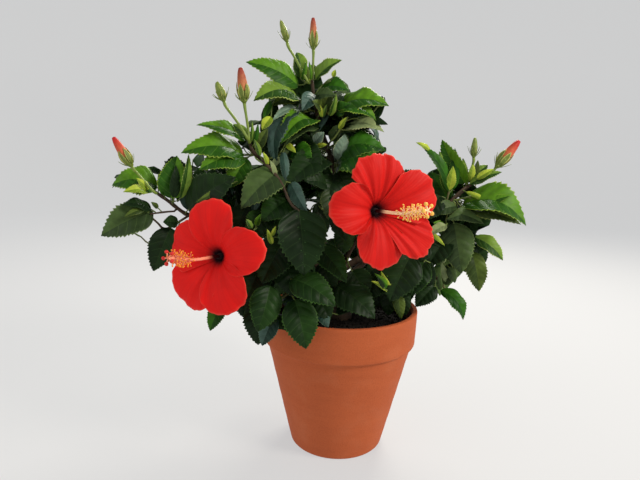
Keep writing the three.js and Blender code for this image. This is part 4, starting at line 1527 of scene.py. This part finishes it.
# %% The petals of both blooms
COLUMN_FINISHES = [SALMON, ORANGE, STIGMA, CREAM, YELLOW]
SALMON_FLESH, ORANGE_GRAINS, RED_PADS, CREAM_FLESH, YELLOW_GRAINS = range(5)
BLOOMS["left"] |= {
    # each petal: (pixel of its tip, width in mm, how far it stands before the others in mm, and how
    # far its round rim goes back on each side, in degrees); bare is the column's share without stamens
    "petals": [
        ((211, 198), 57, 1.0, 118), ((265.5, 247), 51, 4.0, 124), ((233, 313.5), 60, 1.5, 118),
        ((180, 303), 60, -1.5, 112), ((169.5, 237.5), 58, -2.5, 106),
    ],
    "ruffles": 0.5, "column_tip": (170, 258), "bare": 0.65,
    "column": SALMON_FLESH, "anthers": ORANGE_GRAINS, "stigma": RED_PADS,
}
BLOOMS["right"] |= {
    "petals": [
        ((376.5, 152.8), 62, 0.0, 80), ((434, 187), 57, 3.0, 104), ((429, 249.5), 48, 4.5, 88),
        ((381, 269.5), 56, 0.5, 118), ((331.5, 207), 53, 1.0, 126),
    ],
    "ruffles": 1.0, "column_tip": (426, 210.5), "bare": 0.6,
    "column": CREAM_FLESH, "anthers": YELLOW_GRAINS, "stigma": YELLOW_GRAINS,
}
PETAL_TIP_HEIGHT = 10.0
for name, bloom in BLOOMS.items():
    heap = Heap("throat", "veins_and_fold_shade", "rim")
    throat, out = bloom["throat"], bloom["out"]
    for pixel, width, lift, rim_sweep in bloom["petals"]:
        line = seen(pixel, 0) - EYE
        share = ((throat + out * PETAL_TIP_HEIGHT - EYE) @ out) / (line @ out)
        way = EYE + line * share - throat
        way = way - out * (way @ out)
        length = float(np.linalg.norm(way))
        print(f"  petal {length:.0f} mm long, {width} mm wide")
        petal(heap, throat, out, unit(way), length, width, lift, rim_sweep, bloom["ruffles"])
    heap.piece(f"bloom_{name}_petals", [PETALS[name]], "petal")

# %% [markdown]
# ## Columns
#
# The column is a slim tube that bends slightly upwards. The stamens stand out from its outer half on
# hair-thin stalks, each with a grain-sized anther. They go round it by the golden angle, which
# spreads them without rows. Five red or yellow stigma pads on short arms close its end.

# %% Columns
COLUMN_DEPTH = -160
COLUMN_RADII = (1.9, 1.35)
COLUMN_POINTS, COLUMN_SIDES = 30, 10
STAMENS = 90
STAMEN_RADIUS, STAMEN_LENGTHS = 0.24, (4.5, 8.6)
STIGMA_RADIUS, STIGMA_ARM = 0.75, 6.2
GOLDEN_ANGLE = 2.39996
STIGMAS = 5
ANTHER_SIZE = np.array([1.3, 0.85, 0.8])
STIGMA_SIZE = np.array([2.3, 2.1, 1.8])
PIP_ROWS, PIP_SIDES = 5, 7


def pip(heap, centre, size, finish):
    """A small round grain."""
    tilt = np.linspace(0.25, math.pi - 0.25, PIP_ROWS)[:, None]
    points = np.vstack([ring_points(np.sin(tilt), -np.cos(tilt), PIP_SIDES), [[0, 0, -1.0], [0, 0, 1.0]]])
    points = points * size @ np.linalg.qr(rng.normal(size=(3, 3)))[0]
    add_rings(heap, centre + points, PIP_SIDES, finish)


def column(heap, bloom):
    throat, out, flesh = bloom["throat"], bloom["out"], bloom["column"]
    tip = seen(bloom["column_tip"], COLUMN_DEPTH)
    middle = (throat + tip) / 2 + np.array([0, 0, -2.5])
    path = curve([throat - out * 10, throat + (tip - throat) * 0.05, middle, tip], COLUMN_POINTS)
    shade = held(1.7 - (path - throat) @ unit(tip - throat) / 8)
    tube(heap, path, np.linspace(*COLUMN_RADII, COLUMN_POINTS), COLUMN_SIDES, flesh, shade)
    sides, overs, tangents = frames_along(path)
    for k in range(STAMENS):
        share = bloom["bare"] + (0.97 - bloom["bare"]) * (k / STAMENS) ** 0.9
        at = int(share * (COLUMN_POINTS - 1))
        away, ahead = spoke(sides[at], overs[at], k * GOLDEN_ANGLE), tangents[at]
        root = path[at] + ahead * rng.uniform(-1, 1)
        end = root + away * rng.uniform(*STAMEN_LENGTHS) + ahead * rng.uniform(-0.5, 3.0)
        tube(heap, curve([root, (root + end) / 2 + ahead * 0.5, end], 4), [STAMEN_RADIUS] * 4, 4, flesh)
        pip(heap, end, ANTHER_SIZE * rng.uniform(0.75, 1.05), bloom["anthers"])
    foot, ahead = path[-1], tangents[-1]
    for k in range(STIGMAS):
        away = spoke(sides[-1], overs[-1], 2 * math.pi * k / STIGMAS + 0.4)
        end = foot + ahead * 2.6 + away * STIGMA_ARM
        tube(heap, curve([foot - ahead, foot + ahead * 2, end], 5), [STIGMA_RADIUS] * 5, 5, flesh)
        pip(heap, end, STIGMA_SIZE, bloom["stigma"])
    print(f"  column {np.linalg.norm(tip - throat):.0f} mm long")


for name, bloom in BLOOMS.items():
    heap = Heap("shade")
    column(heap, bloom)
    heap.piece(f"bloom_{name}_column", COLUMN_FINISHES, "stamen")

# %% [markdown]
# ## Buds and calyxes
#
# Behind each bloom sits a green cup of five sepals with a ruff of thin bracts round it, and the same
# cup holds every bud. A bud's petals are rolled into a pointed spindle with a slight twist. One
# function makes the cup for both. The shown buds stand where the photograph has them, on stalks from
# their shoots, and a few more finish the back of the crown.

# %% Sepals, bracts and rolled petals
GREEN, PALE, ORANGE_PETAL, RED_PETAL, GREEN_PETAL, SHADED_THROAT = range(6)
BUD_SHAPE = [0.3, 0.6, 0.84, 0.96, 1.0, 0.94, 0.82, 0.68, 0.4]
BUD_TWIST = 5.0
BUD_ROWS, BUD_SIDES = 26, 30
SEPALS, BRACTS = 5, 7
STRIP_ACROSS = np.array([-1, -0.66, 0, 0.66, 1])
STRIP_LIFT = np.array([0.12, -0.06, -0.18, -0.06, 0.12])


def spindle(heap, base, tip, width, finish):
    """Rolled petals: a blunt body with five petal edges that wind slowly round it."""
    t = np.linspace(0, 1, BUD_ROWS)
    belly = np.interp(t, np.linspace(0, 1, len(BUD_SHAPE)), BUD_SHAPE)
    turn = (5 * round_angles(BUD_SIDES) + BUD_TWIST * t[:, None]) / (2 * math.pi) % 1
    rolled = 1 + 0.13 * (turn - 0.5) * held(t[:, None] * 2)
    radii = np.maximum(width / 2 * belly, 0.35)[:, None] * rolled
    tube(heap, base + (tip - base) * t[:, None], radii, BUD_SIDES, finish, held(t * 1.5 - 0.55))


def strip(heap, root, end, bow, width, edge, rows):
    """A narrow pointed blade from root to end that bows outwards; edge is the paint of its sides."""
    t = np.linspace(0, 1, rows)
    path = root + (end - root) * t[:, None] + bow * (4 * t * (1 - t))[:, None]
    along = np.gradient(path, axis=0)
    along /= lengths(along)[:, None]
    side = np.cross(along, unit(bow + 1e-6))
    side /= lengths(side)[:, None]
    over = np.cross(side, along)
    half = width / 2 * np.clip(np.sin(math.pi * np.clip(t * 0.82 + 0.16, 0, 0.985)), 0.04, 1)
    sideways = side[:, None] * (STRIP_ACROSS * half[:, None])[..., None]
    top = path[:, None] + sideways + over[:, None] * (STRIP_LIFT * half[:, None])[..., None]
    low = top - over[:, None] * THICKNESS
    columns = len(STRIP_ACROSS)
    faces = grid_faces(rows, columns, False)
    paints = np.where(np.isin(faces[:, 0] % columns, (0, columns - 2)), edge, GREEN)
    start = heap.add(np.vstack([top.reshape(-1, 3), low.reshape(-1, 3)]), faces, paints)
    heap.faces(start, faces[:, ::-1] + rows * columns, paints)
    heap.faces(start, sheet_edges(rows, columns), edge)


def cup(heap, base, axis, radius, height, open_by):
    """Five sepals joined below into a cup, with the ruff of bracts round its foot."""
    rows = np.linspace(0, 1, 9)
    tube(heap, base + axis * (rows * height * 0.56)[:, None], radius * (0.4 + 0.62 * rows**0.6), 15, GREEN)
    side = unit(np.cross(axis, [0.2, 0.9, 0.4]))
    over = np.cross(axis, side)
    for k in range(SEPALS):
        away = spoke(side, over, 2 * math.pi * k / SEPALS + 0.3)
        root = base + axis * height * 0.18 + away * radius * 0.74
        end = base + axis * height * rng.uniform(0.92, 1.06) + away * open_by
        strip(heap, root, end, away * radius * 0.22, radius * 1.16, PALE, 7)
    for k in range(BRACTS):
        away = spoke(side, over, 2 * math.pi * k / BRACTS + 0.1)
        root = base + axis * 0.6 + away * radius * 0.35
        end = base + axis * height * rng.uniform(0.35, 0.65) + away * (radius * 1.6 + rng.uniform(0.5, 2.5))
        strip(heap, root, end, away * 0.8, 1.4, GREEN, 5)


def bud(heap, base, tip, width, petal_number):
    axis = unit(tip - base)
    neck = [base - axis * 2, base + axis * 1.5, base + axis * 4]
    tube(heap, neck, [1.2, width * 0.16, width * 0.3], 10, GREEN)
    spindle(heap, base + axis * 2, tip, width * 0.78, petal_number)
    closed = petal_number == GREEN_PETAL
    height = np.linalg.norm(tip - base) * (0.97 if closed else 0.56)
    cup(heap, base + axis * 1.5, axis, width * 0.43, height, width * (0.1 if closed else 0.42))


# %% Buds and calyxes in their places
BUD_FINISHES = [SEPAL, SEPAL_EDGE, BUD_ORANGE, BUD_RED, BUD_GREEN, THROAT_SHADE]
BUDS = [
    # (pixels of base and tip, their depths, width in mm, petal, pixels that the stalk passes)
    ((313.4, 51), (313.2, 18), (0, 0), 11, ORANGE_PETAL, [(312.5, 82)]),
    ((287.5, 43.5), (281, 21), (-8, -10), 9.5, GREEN_PETAL, [(308, 82), (295, 58)]),
    ((244.5, 104), (240.5, 68), (-56, -58), 14, ORANGE_PETAL, [(249, 141), (248, 128)]),
    ((224.5, 102.5), (217, 82.5), (-64, -66), 12, GREEN_PETAL, [(248, 139), (238, 123)]),
    ((132.5, 167.5), (113.5, 137.5), (-74, -78), 12.5, RED_PETAL, [(153, 191), (137, 173)]),
    ((495.5, 168), (519, 141), (0, 0), 15, RED_PETAL, [(484, 175)]),
    ((473.5, 159), (475, 138), (2, 2), 9.5, GREEN_PETAL, [(467, 183)]),
]
BACK_BUDS = [
    # (base, tip, width, petal, no places for the stalk) in millimetres
    (np.array([58.0, 156, 296]), np.array([70.0, 176, 330]), 12.5, ORANGE_PETAL, []),
    (np.array([-128.0, 118, 372]), np.array([-142.0, 128, 402]), 11, RED_PETAL, []),
    (np.array([150.0, 118, 340]), np.array([168.0, 132, 362]), 10, GREEN_PETAL, []),
]
CALYX_BACK, CALYX_RADIUS, CALYX_HEIGHT, CALYX_OPEN = 30, 8.5, 22, 6.5


def flower_stalk(places, count, shares, radii, finish):
    """A stalk through some places; radii are its radii at some shares of its length."""
    radii = np.interp(np.linspace(0, 1, count), shares, radii)
    tube(twigs.heap, curve(places, count), radii, TWIG_SIDES, finish)


heap = Heap("blush")
buds = [
    (seen(base, depths[0]), seen(tip, depths[1]), width, number, [seen(p, depths[0] + 2) for p in stalk])
    for base, tip, depths, width, number, stalk in BUDS
]
for base, tip, width, number, way in buds + BACK_BUDS:
    bud(heap, base, tip, width, number)
    axis = unit(tip - base)
    root = twigs.points[twigs.start(way[0] if way else base - axis * 20)]
    way = way or [(root + base) / 2 - axis * 2]
    flower_stalk([root, *way, base - axis * 5, base + axis], 20, [0, 0.8, 1], [1.7, 1.5, 2.0], BUD_STALK)
for bloom in BLOOMS.values():
    out = bloom["out"]
    base = bloom["throat"] - out * CALYX_BACK
    cup(heap, base, out, CALYX_RADIUS, CALYX_HEIGHT, CALYX_OPEN)
    # a near-black tube inside the calyx: painted shade deep in the throat, seen between the claws
    tube(heap, [base + out * 6, base + out * 17, base + out * 25], [5.5, 5.0, 3.4], 12, SHADED_THROAT)
    root = twigs.points[twigs.start(base - out * 25)]
    middle = (root + base) / 2 - out * 6 + np.array([0, 0, 5.0])
    flower_stalk([root, middle, base - out * 6, base + out], 16, [0, 0.7, 1], [1.8, 1.5, 2.2], YOUNG_TWIG)
heap.piece("buds_and_calyxes", BUD_FINISHES, "bud")
twigs.heap.piece("twigs_and_leaf_stalks", [GREEN_BARK, SHOOT, FRESH_STALK, BARK], "bark")
